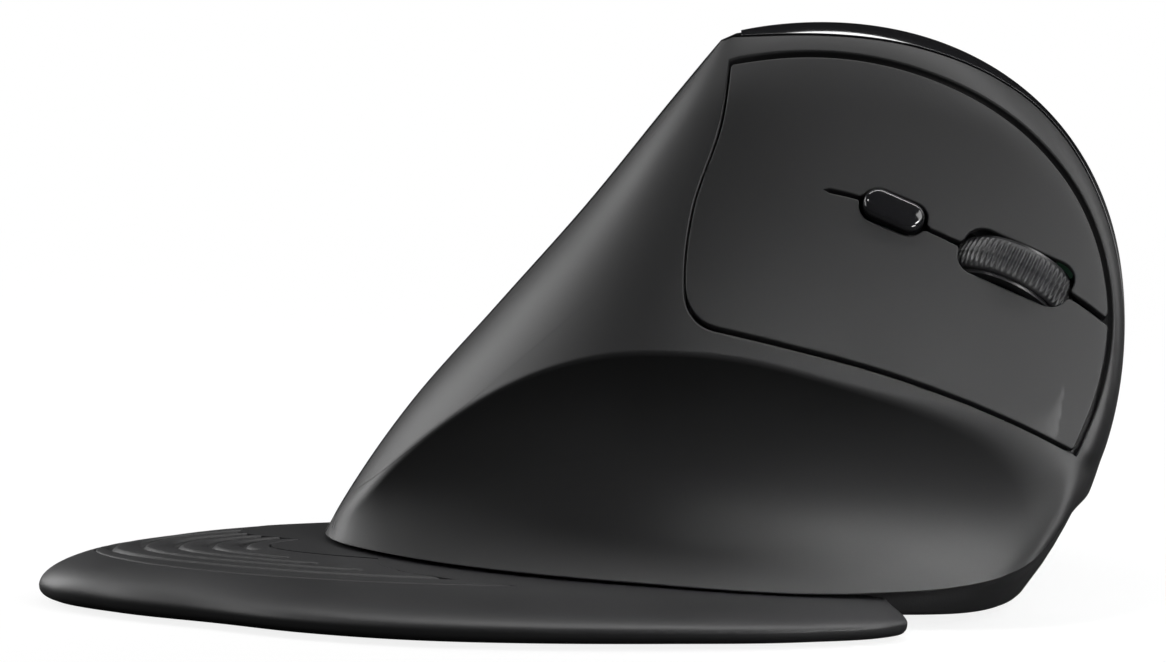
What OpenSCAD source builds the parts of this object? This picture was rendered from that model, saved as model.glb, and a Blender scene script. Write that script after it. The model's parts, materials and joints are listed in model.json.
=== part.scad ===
// Upright ergonomic mouse with a loose palm rest.
// X points to the finger side, Y to the front, Z up. Millimetres.

/* [Body] */
// Sideways lean of the ridge, X per unit of height
ridge_lean = 0.184; // [0.15:0.002:0.21]
// Half width of the finger side at 60 high
pad_half = 12; // [11:0.25:13.5]
// Widening of the finger side towards the base
pad_slope = 0.507; // [0.48:0.005:0.54]
// Half width of the thumb side at 60 high
thumb_half = 11.5; // [11:0.25:13]
// Long half axis of the arc over the top and front
arc_a = 61.2; // [60.5:0.1:63]
// Short half axis of the same arc
arc_b = 46.3; // [45.8:0.1:48]
// Upward tilt of the long axis
arc_tilt = 38; // [37:0.5:39]
// Wall of the shells
wall = 2.2; // [1.8:0.1:2.4]
// Seam between the two shells
seam = 0.1; // [0.06:0.02:0.2]

/* [Crown] */
// Thickness of the glossy strip
crown_t = 1.6; // [1.2:0.1:1.8]
// Gap between the strip and the shells
crown_gap = 0.14; // [0.1:0.02:0.3]

/* [Keys] */
// Gap around the key plate
key_gap = 0.7; // [0.6:0.05:0.9]
// Thinner gap at the root of the key plate
root_gap = 0.3; // [0.25:0.05:0.5]
// Key plate thickness
key_t = 2.2; // [1.8:0.1:2.4]
// Width of the slit between the keys
slit_w = 0.6; // [0.5:0.05:0.8]
// Where the keys flex, along Y
hinge_y = 30; // [28:0.5:32]

/* [Scroll wheel] */
// Tyre diameter
wheel_d = 22; // [21:0.25:22.5]
// Tyre width
wheel_w = 6.5; // [6:0.25:7]
// How far the tyre stands out of the keys
wheel_rise = 3.5; // [3:0.25:4]
// Axle diameter
axle_d = 3; // [2.5:0.1:3.4]
// Radial running clearance of the axle
axle_fit = 0.05; // [0.03:0.01:0.09]
// Ribs around the tyre
tyre_ribs = 72; // [56:2:80]
// Side clearance in the slot
wheel_gap = 0.5; // [0.4:0.05:0.7]

/* [Buttons] */
// Length of the oblong top button
dpi_l = 8.8; // [8:0.2:9.4]
// Width of the oblong top button
dpi_w = 4.3; // [3.8:0.1:4.6]
// Height of the oblong top button over the keys
dpi_rise = 1.3; // [1:0.1:1.6]
// Gap around pressed buttons
button_gap = 0.45; // [0.4:0.05:0.6]
// Height of the thumb buttons over the shell
thumb_rise = 0.9; // [0.6:0.1:1.2]
// Travel allowed under every button
travel = 0.35; // [0.3:0.05:0.5]

/* [Base] */
// Thickness of the glide feet
foot_t = 0.9; // [0.7:0.1:1.2]
// Floor of the base
floor_t = 2; // [1.8:0.1:2.4]
// How far the base is set back under the skirt
set_back = 3.5; // [3:0.25:4]
// Top of the base wall
base_top = 4.6; // [4.2:0.1:4.7]
// Case screw diameter
screw_d = 2.2; // [2:0.1:2.5]
// Board screw diameter
pin_d = 1.9; // [1.6:0.1:2]

/* [Palm rest] */
// Gap between the rest and the base
rest_gap = 0.9; // [0.7:0.1:1.2]
// Gap under the skirt
skirt_gap = 0.5; // [0.4:0.05:0.7]
// Height of the rounded nose of the rest
nose_z = 1.9; // [1.7:0.1:2.4]
// Width of the rounding over its rim
rest_round = 14; // [11:0.5:15]
// Width of a groove in the pad
groove_w = 1; // [0.8:0.1:1.3]
// Depth of a groove in the pad
groove_d = 0.6; // [0.4:0.1:0.8]

/* [Hidden] */
$fn = 48;

shell_c = [0.09, 0.09, 0.095];
gloss_c = [0.02, 0.02, 0.022];
dark_c = [0.05, 0.05, 0.055];
metal_c = [0.7, 0.71, 0.73];
board_c = [0.05, 0.22, 0.12];

// outline of the body seen from the side: the back slope as height and Y, the arc as an ellipse
back_line = [[5, -36.5], [12, -32.5], [25, -23.3], [38, -11.6], [51, 0.2], [65, 11.8], [73, 18.5]];
arc_mid = [17.8, 23.3];
nose_mid = 30;
// how square the body is behind and over the arc, by height
back_round = [[5, 2], [20, 2.7], [35, 3.6], [50, 4.5], [75, 4.5]];
arc_round_t = [[0, 13], [20, 20], [40, 24], [70, 15], [76, 15]];
arc_round_f = [[0, 16], [8, 26], [14, 55], [20, 90], [30, 60], [42, 28], [70, 15], [76, 15]];
// skirt height along Y
skirt_line = [[-36, 7.5], [-18, 6.2], [5, 5.3], [40, 5], [50, 5.9], [57, 7.5], [61, 9.5], [63.6, 12],
    [65.2, 14.2], [66.4, 15.5], [72, 16.2]];
// crest of the finger scoop and of the thumb scoop, Y and height
crest_f = [[-36, 7.8], [-32, 11.4], [-25, 18.8], [-16, 26.2], [-7, 31.4], [2.5, 34.5], [12, 35.3], [19, 35],
    [37, 31.2], [54, 26.2], [65, 21.2], [72, 17.5]];
crest_t = [[-36, 7.6], [-28, 14], [-15, 27], [0, 40], [15, 47], [35, 49], [55, 46], [72, 40]];
// depth of the scoops and softness of their crests, along Y
deep_f = [[-35, 0.05], [-10, 0.036], [10, 0.034], [35, 0.032], [60, 0.03]];
deep_t = [[-36, 0.05], [-10, 0.04], [20, 0.032], [50, 0.026], [74, 0.02]];
soft_f = [[-35, 1.2], [-10, 0.8], [20, 0.8], [50, 1], [72, 1.6]];
soft_t = [[-36, 2], [0, 4], [72, 4]];
// share of the gap beside the crown, by angle along the arc, narrow where the front is square
gap_share = [[-54, 0.4], [-20, 0.5], [5, 1], [57, 1]];
// inset of the crown from the outline, by angle along the arc
crown_f_line = [[-54, 0.45], [-46, 0.5], [-38, 0.35], [-28, 0.18], [-10, 0.15], [2, 0.15], [8, 0.22],
    [14, 0.45], [28, 1], [44, 1.1], [52, 0.7], [57, 0.25]];
crown_t_line = [[-54, 0.25], [-48, 0.9], [-40, 1.5], [-25, 2], [0, 2.4], [20, 2.6], [44, 2.2], [52, 1.1],
    [57, 0.25]];
crown_end = [-54, 55.5];
// key plate: limit towards the arc by angle, lower edge by Y, left edge by height, slit by Y
plate_mid = [44, 46];
plate_arc = [[-50, 0.9], [-44, 0.913], [-30, 0.951], [-10, 0.974], [10, 0.984], [25, 0.983], [45, 0.963],
    [75, 0.942], [135, 0.942]];
plate_low = [[14, 39], [25, 36.9], [44, 32.3], [60, 26.7], [67, 23.4]];
plate_left = [[36, 14.2], [42, 13.7], [47, 13.8], [53, 14.8], [64, 18.8], [72, 20.1]];
slit_line = [[28, 56.4], [33, 55.7], [38, 54.6], [46.6, 50.9], [58.8, 45.7], [65.8, 42.6], [72, 38.3],
    [76, 35]];
// wheel, oblong button and thumb button places as Y and height
wheel_at = [58.8, 46];
dpi_at = [42.2, 53];
thumb_at = [41, 59.5];
thumb_tilt = -8;
thumb_size = [19.5, 4.4];
// depth of the parts below the finger side, measured inwards at the wheel
board_top = -10.5;
board_t = 1.6;
axle_c = wheel_rise - wheel_d / 2;
switch_b = 11;
// palm rest: centre of its rays, reach of its outer edge by angle
rest_mid = [-3, 10];
rest_edge = [[-120, 42.5], [-113, 48.8], [-105, 57], [-99, 65.6], [-92, 74.6], [-86.5, 82.2], [-82.5, 84.6],
    [-79, 83.5], [-73, 78], [-64, 69], [-53, 62.5], [-41, 56.7], [-22, 49.8], [2, 46.8], [25, 50], [37, 52.5],
    [45, 51.5]];
// pad and its grooves: half ellipses about one centre, as half width and half length
pad_mid = [4, -13];
pad_out = [21.5, 53.3];
pad_in = [8, 29.5];
grooves = [[17.4, 51], [14.5, 46.7], [12.5, 42], [10.8, 37.4], [9.4, 32.9]];
pad_ends = [[-148, -120], [4, -30]];
pad_floor = 3.9;
// magnet places as angles of the rest
magnet_at = [-30, -66];

// smooth curve through points
function span_of(p, x, i = 1) = (i >= len(p) - 1 || x <= p[i][0]) ? i - 1 : span_of(p, x, i + 1);
function rise_at(p, i) = (p[i + 1][1] - p[i][1]) / (p[i + 1][0] - p[i][0]);
function slope_at(p, i) =
    i == 0 ? rise_at(p, 0) :
    i == len(p) - 1 ? rise_at(p, i - 1) :
    let (a = p[i][0] - p[i - 1][0], b = p[i + 1][0] - p[i][0])
    (rise_at(p, i - 1) * b + rise_at(p, i) * a) / (a + b);
function curve(p, x) =
    let (i = span_of(p, x), h = p[i + 1][0] - p[i][0], t = (x - p[i][0]) / h, s = min(max(t, 0), 1))
    let (m = slope_at(p, i), n = slope_at(p, i + 1))
    (2 * s ^ 3 - 3 * s ^ 2 + 1) * p[i][1] + (s ^ 3 - 2 * s ^ 2 + s) * h * m
    + (3 * s ^ 2 - 2 * s ^ 3) * p[i + 1][1] + (s ^ 3 - s ^ 2) * h * n
    + (t < 0 ? t * h * m : 0) + (t > 1 ? (t - 1) * h * n : 0);
function mix(a, b, t) = a + (b - a) * t;
function soft_min(a, b, k) =
    let (h = min(max(0.5 + 0.5 * (b - a) / k, 0), 1))
    b + (a - b) * h - k * h * (1 - h);
function unit(v) = v / norm(v);

// body surface: half width from the ridge plane at Y, Z, with everything drawn in by g
function skirt_z(y) = curve(skirt_line, y);
function back_y(z, g = 0) = curve(back_line, z) + 1.33 * g;
function arc_uv(y, z) =
    let (a = y - arc_mid[0], b = z - arc_mid[1])
    [a * cos(arc_tilt) + b * sin(arc_tilt), b * cos(arc_tilt) - a * sin(arc_tilt)];
function arc_rho(y, z, g = 0) = let (q = arc_uv(y, z)) norm([q[0] / (arc_a - g), q[1] / (arc_b - g)]);
function arc_turn(y, z) = let (q = arc_uv(y, z)) atan2(q[1] / arc_b, q[0] / arc_a);
function arc_point(w, g = 0) =
    let (u = (arc_a - g) * cos(w), v = (arc_b - g) * sin(w))
    [arc_mid[0] + u * cos(arc_tilt) - v * sin(arc_tilt), arc_mid[1] + u * sin(arc_tilt) + v * cos(arc_tilt)];
function back_nose(y, z, g) =
    let (t = min(max((nose_mid - y) / (nose_mid - back_y(z, g)), 0), 1))
    sqrt(max(0, 1 - t ^ curve(back_round, z)));
function arc_nose(y, z, g, round) = sqrt(max(0, 1 - arc_rho(y, z, g) ^ curve(round, z)));
function pad_f(y, z, g) =
    max(pad_half + pad_slope * (60 - z) - (y - 35) ^ 2 / 440 - 1.2 * g, 0.5) * back_nose(y, z, g);
function pad_t(y, z, g) =
    (max(thumb_half + 0.2 * (60 - z) - (y - 35) ^ 2 / 500 - 1.05 * g, 0.5) + 0.035 * max(34 - z, 0) ^ 2)
    * back_nose(y, z, g);
function skirt_half(y, w, k, g) =
    let (t = min(max((40 - y) / (76.5 - 1.33 * g), 0), 1))
    max((w + k * (y + 18) - 1.1 * g) * sqrt(1 - t * t), 0.2);
function scoop(y, z, zs, zc, wc, ws, k) =
    let (w = ws + (wc - ws) * (z - zs) / max(zc - zs, 1) - k * (zc - z) * (z - zs))
    z > zc ? max(w, wc - 0.1 * (z - zc)) : w;
function core_f(y, z, g) =
    let (c = curve(crest_f, y), ws = skirt_half(y, 25, 0.107, g))
    let (low = scoop(y, z, skirt_z(y), c, pad_f(y, c, g), ws, curve(deep_f, y)))
    max(soft_min(pad_f(y, z, g), low, curve(soft_f, y)), 0);
function core_t(y, z, g) =
    let (c = curve(crest_t, y), ws = skirt_half(y, 41.6, 0.02, g))
    let (low = scoop(y, z, skirt_z(y), c, pad_t(y, c, g), ws, curve(deep_t, y)))
    max(soft_min(pad_t(y, z, g), low, curve(soft_t, y)), 0);
function skin_x(w, z, side) = side * (w + seam / 2) - ridge_lean * z;
function skin_f(y, z, g = 0) = [skin_x(core_f(y, z, g) * arc_nose(y, z, g, arc_round_f), z, 1), y, z];
function skin_t(y, z, g = 0) = [skin_x(core_t(y, z, g) * arc_nose(y, z, g, arc_round_t), z, -1), y, z];

// crown inset, only where the crown runs
function on_crown(w) = w > crown_end[0] - 2.6 && w < crown_end[1] + 2.6;
function crown_in(line, y, z) =
    let (w = arc_turn(y, z))
    on_crown(w) ? curve(line, w) + crown_gap * curve(gap_share, w) : 0;

// key plate: distance inside its outline, less the gaps
function plate_lim(a) = a < -52 || a > 137 ? 2 : curve(plate_arc, a);
function plate_in(y, z, e = 0, r = 0) =
    let (a = atan2(z - plate_mid[1], y - plate_mid[0]))
    let (top = (plate_lim(a) - arc_rho(y, z)) * arc_b - e)
    let (low = (z - curve(plate_low, y)) * 0.93 - e, left = y - curve(plate_left, z) - r)
    min(top, soft_min(low, left, 4));
function slit_off(y, z) = (z - curve(slit_line, y)) * 1.1;
function thumb_in(y, z, e, k = 4.5) =
    let (a = y - thumb_at[0], b = z - thumb_at[1])
    let (u = a * cos(thumb_tilt) + b * sin(thumb_tilt), v = b * cos(thumb_tilt) - a * sin(thumb_tilt))
    1 - (abs(u) / (thumb_size[0] - e)) ^ k - (abs(v) / (thumb_size[1] - e)) ^ k;
function thumb_u(y, z) = (y - thumb_at[0]) * cos(thumb_tilt) + (z - thumb_at[1]) * sin(thumb_tilt);

// regions of the skin, tested at Y, Z with inset g
function key_low(y, z, g) = arc_rho(y, z, g + 1.8 + crown_in(crown_f_line, y, z)) < 1 && y > back_y(z, g) + 2.6;
function body_in(y, z, g, c) = z > skirt_z(y) && y > back_y(z, g) && arc_rho(y, z, g + c) < 1;
function inside(k, y, z, g) =
    k == "finger" ? body_in(y, z, g, crown_in(crown_f_line, y, z)) :
    k == "thumb" ? body_in(y, z, g, crown_in(crown_t_line, y, z)) :
    k == "crest_f" ? z > curve(crest_f, y) :
    k == "crest_t" ? z > curve(crest_t, y) :
    k == "plate" ? plate_in(y, z) > 0 && (g == 0 || arc_rho(y, z, g + 0.8) < 1) :
    k == "hole_t" ? thumb_in(y, z, 0) > 0 :
    k == "forward" ? thumb_in(y, z, button_gap, 3.2) > 0 && thumb_u(y, z) > button_gap / 2 :
    k == "back" ? thumb_in(y, z, button_gap, 3.2) > 0 && thumb_u(y, z) < -button_gap / 2 :
    plate_in(y, z, key_gap, root_gap) > 0 && (g <= 0.2 || key_low(y, z, g)) && (
    k == "web" ? y < hinge_y - root_gap / 2 :
    k == "left" ? y > hinge_y + root_gap / 2 && slit_off(y, z) > slit_w / 2 :
    y > hinge_y + root_gap / 2 && slit_off(y, z) < -slit_w / 2);
function reach(k, m, a, g, lo = 0, hi = 120, n = 26) =
    n == 0 ? lo :
    let (r = (lo + hi) / 2, ok = inside(k, m[0] + r * cos(a), m[1] + r * sin(a), g))
    reach(k, m, a, g, ok ? r : lo, ok ? hi : r, n - 1);

// rays from a point to the outline: along the skirt, the arc and the back slope
skirt_rays = [each [-35.3 : 5.8 : 54], 57.4, 60, 62, 63.6, 65, 66, 67.2, 68.6];
arc_rays = [-53.8, -52.6, -51.2, -50.4, -49.8, -49, each [-46.8 : 4.2 : 50], 52, 54, 55.2, 56.2, 56.8];
back_rays = [73.4, 72.2, 70.8, 69, 66.5, each [62.5 : -5 : 9]];
function bearing(p, m) = atan2(p[1] - m[1], p[0] - m[0]);
function upward(a, from) = a < from ? upward(a + 360, from) : a;
function rays(m) =
    let (first = bearing([skirt_rays[0], skirt_z(skirt_rays[0])], m))
    concat(
        [for (y = skirt_rays) bearing([y, skirt_z(y)], m)],
        [for (w = arc_rays) bearing(arc_point(w), m)],
        [for (z = back_rays) upward(bearing([back_y(z), z], m), first)]
    );

// solids made of rings of points
module tube_solid(rings, flip = false) {
    n = len(rings[0]);
    m = len(rings);
    quads = [for (j = [0 : m - 1], i = [0 : n - 1]) let (k = (i + 1) % n, l = (j + 1) % m)
        [j * n + i, j * n + k, l * n + k, l * n + i]];
    polyhedron([for (r = rings) each r], [for (q = quads) each (flip
        ? [[q[0], q[2], q[1]], [q[0], q[3], q[2]]]
        : [[q[0], q[1], q[2]], [q[0], q[2], q[3]]])]);
}
module pill_solid(rings, first, last, flip = false) {
    n = len(rings[0]);
    m = len(rings);
    quads = [for (j = [0 : m - 2], i = [0 : n - 1]) let (k = (i + 1) % n)
        [j * n + i, j * n + k, (j + 1) * n + k, (j + 1) * n + i]];
    caps = [for (i = [0 : n - 1]) let (k = (i + 1) % n)
        each [[n * m, k, i], [n * m + 1, (m - 1) * n + i, (m - 1) * n + k]]];
    faces = concat([for (q = quads) each [[q[0], q[1], q[2]], [q[0], q[2], q[3]]]], caps);
    polyhedron([each [for (r = rings) each r], first, last],
        flip ? [for (f = faces) [f[0], f[2], f[1]]] : faces);
}
module strip_solid(rings, flip = false) {
    n = len(rings[0]);
    m = len(rings);
    h = n / 2;
    quads = [for (j = [0 : m - 2], i = [0 : n - 1]) let (k = (i + 1) % n)
        [j * n + i, j * n + k, (j + 1) * n + k, (j + 1) * n + i]];
    ends = [for (i = [0 : h - 2]) let (a = i, b = i + 1, c = n - 2 - i, d = n - 1 - i, e = (m - 1) * n)
        each [[a, d, c, b], [e + a, e + b, e + c, e + d]]];
    polyhedron([for (r = rings) each r], [for (q = concat(quads, ends)) each (flip
        ? [[q[0], q[2], q[1]], [q[0], q[3], q[2]]]
        : [[q[0], q[1], q[2]], [q[0], q[2], q[3]]])]);
}

// a shell around an opening: rows run outwards over the crest, then back along the inside
function shell_row(kind, hole, crest, m, list, g, s, t) =
    [for (a = list)
        let (r1 = reach(kind, m, a, g), r0 = min(reach(hole, m, a, g), r1 - 0.8))
        let (rc = min(max(reach(crest, m, a, g), r0 + 0.2 * (r1 - r0)), r0 + 0.93 * (r1 - r0)))
        let (r = s < 1 ? mix(r0, rc, s) : mix(rc, r1, t), y = m[0] + r * cos(a), z = m[1] + r * sin(a))
        kind == "finger" ? skin_f(y, z, g) : skin_t(y, z, g)];
module shell(kind, hole, crest, m) {
    list = rays(m);
    near = [0, 0.22, 0.55, 0.82];
    far = [0, 0.1, 0.22, 0.38, 0.56, 0.74, 0.88, 0.96, 1];
    inner = [1, 0.8, 0.4, 0];
    rings = concat(
        [for (s = near) shell_row(kind, hole, crest, m, list, 0, s, 0)],
        [for (t = far) shell_row(kind, hole, crest, m, list, 0, 1, t)],
        [for (t = inner) shell_row(kind, hole, crest, m, list, wall, 1, t)],
        [for (s = [0.5, 0]) shell_row(kind, hole, crest, m, list, wall, s, 0)]
    );
    tube_solid(rings, kind == "thumb");
}

// a cap over one region of the skin: out along the top, back along the underside
function cap_row(kind, m, list, g, gl, t) =
    [for (a = list) let (r = t * reach(kind, m, a, gl), y = m[0] + r * cos(a), z = m[1] + r * sin(a))
        kind == "forward" || kind == "back" ? skin_t(y, z, g) : skin_f(y, z, g)];
module skin_cap(kind, m, top, low, edge) {
    list = [for (i = [0 : 44]) i * 8];
    thumb = kind == "forward" || kind == "back";
    mid_top = thumb ? skin_t(m[0], m[1], top) : skin_f(m[0], m[1], top);
    mid_low = thumb ? skin_t(m[0], m[1], low) : skin_f(m[0], m[1], low);
    rings = concat(
        [for (t = [0.35, 0.7, 0.93]) cap_row(kind, m, list, top, 0, t)],
        [cap_row(kind, m, list, edge, 0, 1)],
        [for (t = [1, 0.6]) cap_row(kind, m, list, low, low, t)]
    );
    pill_solid(rings, mid_top, mid_low, thumb);
}

// local frames: origin on the skin, axes along the slit, up the side and outwards
function finger_frame(at) =
    let (y = at[0], z = at[1], d = 0.5)
    let (n = unit(cross(skin_f(y + d, z) - skin_f(y - d, z), skin_f(y, z + d) - skin_f(y, z - d))))
    let (s = skin_f(y + 4, curve(slit_line, y + 4)) - skin_f(y - 4, curve(slit_line, y - 4)))
    let (b = unit(cross(n, s))) [skin_f(y, z), cross(b, n), b, n];
function thumb_frame(at) =
    let (y = at[0], z = at[1], d = 0.5)
    let (n = unit(cross(skin_t(y, z + d) - skin_t(y, z - d), skin_t(y + d, z) - skin_t(y - d, z))))
    let (s = [0, cos(thumb_tilt), sin(thumb_tilt)])
    let (b = unit(cross(s, n))) [skin_t(y, z), cross(n, b), b, n];
module seat(f)
    multmatrix([
        [f[1][0], f[2][0], f[3][0], f[0][0]],
        [f[1][1], f[2][1], f[3][1], f[0][1]],
        [f[1][2], f[2][2], f[3][2], f[0][2]],
        [0, 0, 0, 1]
    ]) children();
wheel_frame = finger_frame(wheel_at);
side_frame = thumb_frame(thumb_at);
dpi_off = skin_f(dpi_at[0], dpi_at[1]) - wheel_frame[0];
dpi_a = dpi_off * wheel_frame[1];
dpi_b = dpi_off * wheel_frame[2];
dpi_c = dpi_off * wheel_frame[3];
module at_wheel(a = 0, b = 0, c = 0) seat(wheel_frame) translate([a, b, c]) children();
module at_thumb(a = 0, b = 0, c = 0) seat(side_frame) translate([a, b, c]) children();
module block(x, y, z) translate([-x / 2, -y / 2, 0]) cube([x, y, z]);
module soft_block(l, w, r, h) {
    block(l - 2 * r, w, h);
    block(l, w - 2 * r, h);
    for (a = [-1, 1], b = [-1, 1])
        translate([a * (l / 2 - r), b * (w / 2 - r), 0]) cylinder(r = r, h = h);
}
module oblong(l, w, h) {
    block(l - w, w, h);
    for (s = [-1, 1])
        translate([s * (l - w) / 2, 0, 0]) cylinder(d = w, h = h);
}

// plan of the base, drawn in by g at one height: its ends, what lies in it, its reach from the rest's centre
plan_z = 6;
function plan_end(g, front, lo = 20, hi = 20, n = 30) =
    n == 30 ? plan_end(g, front, 20, front ? 80 : -50, 29) :
    n == 0 ? lo :
    let (y = (lo + hi) / 2, ok = front ? arc_rho(y, plan_z, g) < 1 : y > back_y(plan_z, g))
    plan_end(g, front, ok ? y : lo, ok ? hi : y, n - 1);
function plan_has(p, g) =
    p[1] > plan_end(g, false) && p[1] < plan_end(g, true) && p[0] < skin_f(p[1], plan_z, g)[0]
    && p[0] > skin_t(p[1], plan_z, g)[0];
function ray(a, r) = [rest_mid[0] + r * cos(a), rest_mid[1] + r * sin(a)];
function plan_reach(a, g, lo = 0, hi = 90, n = 20) =
    n == 0 ? lo :
    let (r = (lo + hi) / 2, ok = plan_has(ray(a, r), g)) plan_reach(a, g, ok ? r : lo, ok ? hi : r, n - 1);

module finger_shell() color(shell_c) shell("finger", "plate", "crest_f", plate_mid);
module thumb_shell() color(shell_c) shell("thumb", "hole_t", "crest_t", thumb_at);

// crown: a strip over the ridge, built of cross sections along the arc
function crown_side(w, g, line, t, finger) =
    let (p = arc_point(w, g + curve(line, w) * t ^ 2)) finger ? skin_f(p[0], p[1], g) : skin_t(p[0], p[1], g);
module crown_trim() {
    steps = 36;
    across = [1, 0.75, 0.5, 0.25];
    rings = [for (i = [0 : steps])
        let (w = mix(crown_end[0], crown_end[1], i / steps))
        concat(
            [for (t = across) crown_side(w, 0, crown_f_line, t, true)],
            [for (i = [3 : -1 : 0]) crown_side(w, 0, crown_t_line, across[i], false)],
            [for (t = across) crown_side(w, crown_t, crown_t_line, t, false)],
            [for (i = [3 : -1 : 0]) crown_side(w, crown_t, crown_f_line, across[i], true)]
        )];
    color(gloss_c) strip_solid(rings, true);
}

// key plate
function wheel_chord(c) = 2 * sqrt((wheel_d / 2) ^ 2 - (c - axle_c) ^ 2);
slot_round = 1;
slot_steps = [[-9, -2.6, wheel_d], [-2.7, -0.8, wheel_chord(-2.6)], [-0.9, 8, wheel_chord(-0.8)]];
module wheel_slot()
    for (s = slot_steps)
        at_wheel(0, 0, s[0]) soft_block(s[2] + 2 * wheel_gap, wheel_w + 2 * wheel_gap, slot_round, s[1] - s[0]);
module dpi_pocket() at_wheel(dpi_a, dpi_b, -7) oblong(dpi_l + 2 * button_gap, dpi_w + 2 * button_gap, 14);
module key_web() color(shell_c) skin_cap("web", [22, 54], 0.05, key_t, 0.25);
module left_key()
    color(shell_c)
        difference() {
            skin_cap("left", [48, 62], 0.05, key_t, 0.25);
            wheel_slot();
            dpi_pocket();
        }
module right_key()
    color(shell_c)
        difference() {
            skin_cap("right", [48, 40], 0.05, key_t, 0.25);
            wheel_slot();
            dpi_pocket();
        }
dpi_deep = 3.6;
dpi_edge = 0.4;
module dpi_button()
    color(gloss_c)
        at_wheel(dpi_a, dpi_b, dpi_c) {
            translate([0, 0, -dpi_deep]) oblong(dpi_l, dpi_w, dpi_deep + dpi_rise - dpi_edge);
            translate([0, 0, dpi_rise - dpi_edge]) oblong(dpi_l - 2 * dpi_edge, dpi_w - 2 * dpi_edge, dpi_edge);
        }

// scroll wheel: its axle lies across the slit
module across_axle() at_wheel(0, 0, axle_c) rotate([90, 0, 0]) children();
rib_step = 360 / tyre_ribs;
tyre_in = wheel_d / 2 - 2.4;
arm_t = 1.7;
arm_in = wheel_w / 2 + 1.1;
function rib_ring() =
    [for (i = [0 : tyre_ribs - 1], q = [[0.1, 0], [0.4, 0.35], [0.6, 0.35], [0.9, 0]])
        let (r = wheel_d / 2 - q[1], a = (i + q[0]) * rib_step) [r * cos(a), r * sin(a)]];
module wheel_tyre()
    color(dark_c)
        across_axle()
            difference() {
                translate([0, 0, -wheel_w / 2]) linear_extrude(wheel_w) polygon(rib_ring());
                translate([0, 0, -wheel_w]) cylinder(r = tyre_in, h = 2 * wheel_w);
            }
module wheel_hub()
    color(gloss_c)
        across_axle() {
            difference() {
                translate([0, 0, 0.2 - wheel_w / 2]) cylinder(r = tyre_in - 0.02, h = wheel_w - 0.4);
                for (s = [-1, 1])
                    translate([0, 0, s * (wheel_w / 2 - 0.6) - 0.9])
                        difference() {
                            cylinder(r = tyre_in - 1.6, h = 1.8);
                            cylinder(r = axle_d / 2 + 1.3, h = 1.8);
                        }
            }
            translate([0, 0, -arm_in - arm_t]) cylinder(d = axle_d, h = 2 * (arm_in + arm_t));
        }
bar_a = -wheel_d / 2 - 0.5;
module wheel_cradle()
    color(dark_c)
        difference() {
            union() {
                for (s = [-1, 1])
                    at_wheel((bar_a - 2.6 + 2.9) / 2, s * (arm_in + arm_t / 2), axle_c - 2.1)
                        block(2.9 - bar_a + 2.6, arm_t, 4.4);
                at_wheel(bar_a - 1.3, 0, axle_c) block(2.6, 2 * (arm_in + arm_t), 2.3);
            }
            across_axle()
                translate([0, 0, -10]) cylinder(r = axle_d / 2 + axle_fit, h = 20);
        }
guide_b = arm_in + arm_t + 0.4;
module wheel_guide()
    color(dark_c)
        at_wheel(0, 0, board_top) {
            translate([0, guide_b + 0.6, 0]) block(8, 1.2, 5.4);
            translate([-1.5, guide_b + 0.6, 0]) block(2.4, 1.2, 6.1);
        }
module wheel_encoder()
    color(gloss_c)
        at_wheel(0, -guide_b - 1.1, board_top) {
            block(9, 2.2, 6.6);
            translate([0, -0.2, 6.6]) block(4, 1.4, 1);
        }

// switches on the tilted board
plate_under = -key_t - 0.5;
switch_h = 5.8;
module board_hole(a, b) at_wheel(a, b, board_top - 4) cylinder(d = pin_d + 0.4, h = 8);
board_pins = [[-21.5, -11.5], [3, -14.6], [-21.5, 5]];
module button_board()
    color(board_c)
        difference() {
            at_wheel(-8.7, -1.4, board_top - board_t) block(30.6, 30.8, board_t);
            at_wheel(1.5, 0, board_top - board_t - 1) block(25, wheel_w + 3.4, board_t + 2);
            for (p = board_pins)
                board_hole(p[0], p[1]);
        }
cap_size = [1.6, 2.6];
cap_a = -4.5;
cap_d = 2.2;
cap_sink = 0.3;
cap_gap = 0.3;
cap_room = 1.2;
module cap_pocket(top) translate([0, 0, top - cap_room]) cylinder(d = cap_d + 2 * cap_gap, h = 2 * cap_room);
module micro_switch(b)
    at_wheel(-7, b, board_top)
        difference() {
            union() {
                block(12.8, 5.6, switch_h - 1.2);
                translate([0, 0, switch_h - 1.2]) block(12.2, 5, 1.2);
            }
            translate([cap_a + 7, 0, switch_h - cap_room])
                block(cap_size[0] + 2 * cap_gap, cap_size[1] + 2 * cap_gap, 2 * cap_room);
        }
module small_switch(x, y, h)
    difference() {
        block(x, y, h);
        cap_pocket(h);
    }
module small_cap(from, to) translate([0, 0, from - cap_sink]) cylinder(d = cap_d, h = to - from + cap_sink);
module left_switch() color(dark_c) micro_switch(switch_b);
module right_switch() color(dark_c) micro_switch(-switch_b - 1.6);
plunger_c = board_top + switch_h;
module switch_cap(b)
    at_wheel(cap_a, b, plunger_c - cap_sink)
        block(cap_size[0], cap_size[1], plate_under - travel - plunger_c + cap_sink);
module left_plunger() color(shell_c) switch_cap(switch_b);
module right_plunger() color(shell_c) switch_cap(-switch_b - 1.6);
click_a = bar_a - 1.9;
module wheel_switch() color(dark_c) at_wheel(click_a, 0, board_top) small_switch(3.8, 4.4, 1.7);
module wheel_plunger()
    color(shell_c) at_wheel(click_a, 0, board_top) small_cap(1.7, axle_c - travel - board_top);
module dpi_switch() color(dark_c) at_wheel(dpi_a - 0.6, dpi_b, board_top) small_switch(4.6, 4.6, 3.2);
module dpi_plunger()
    color(shell_c)
        at_wheel(dpi_a - 0.6, dpi_b, board_top) small_cap(3.2, dpi_c - dpi_deep - travel - board_top);

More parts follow.
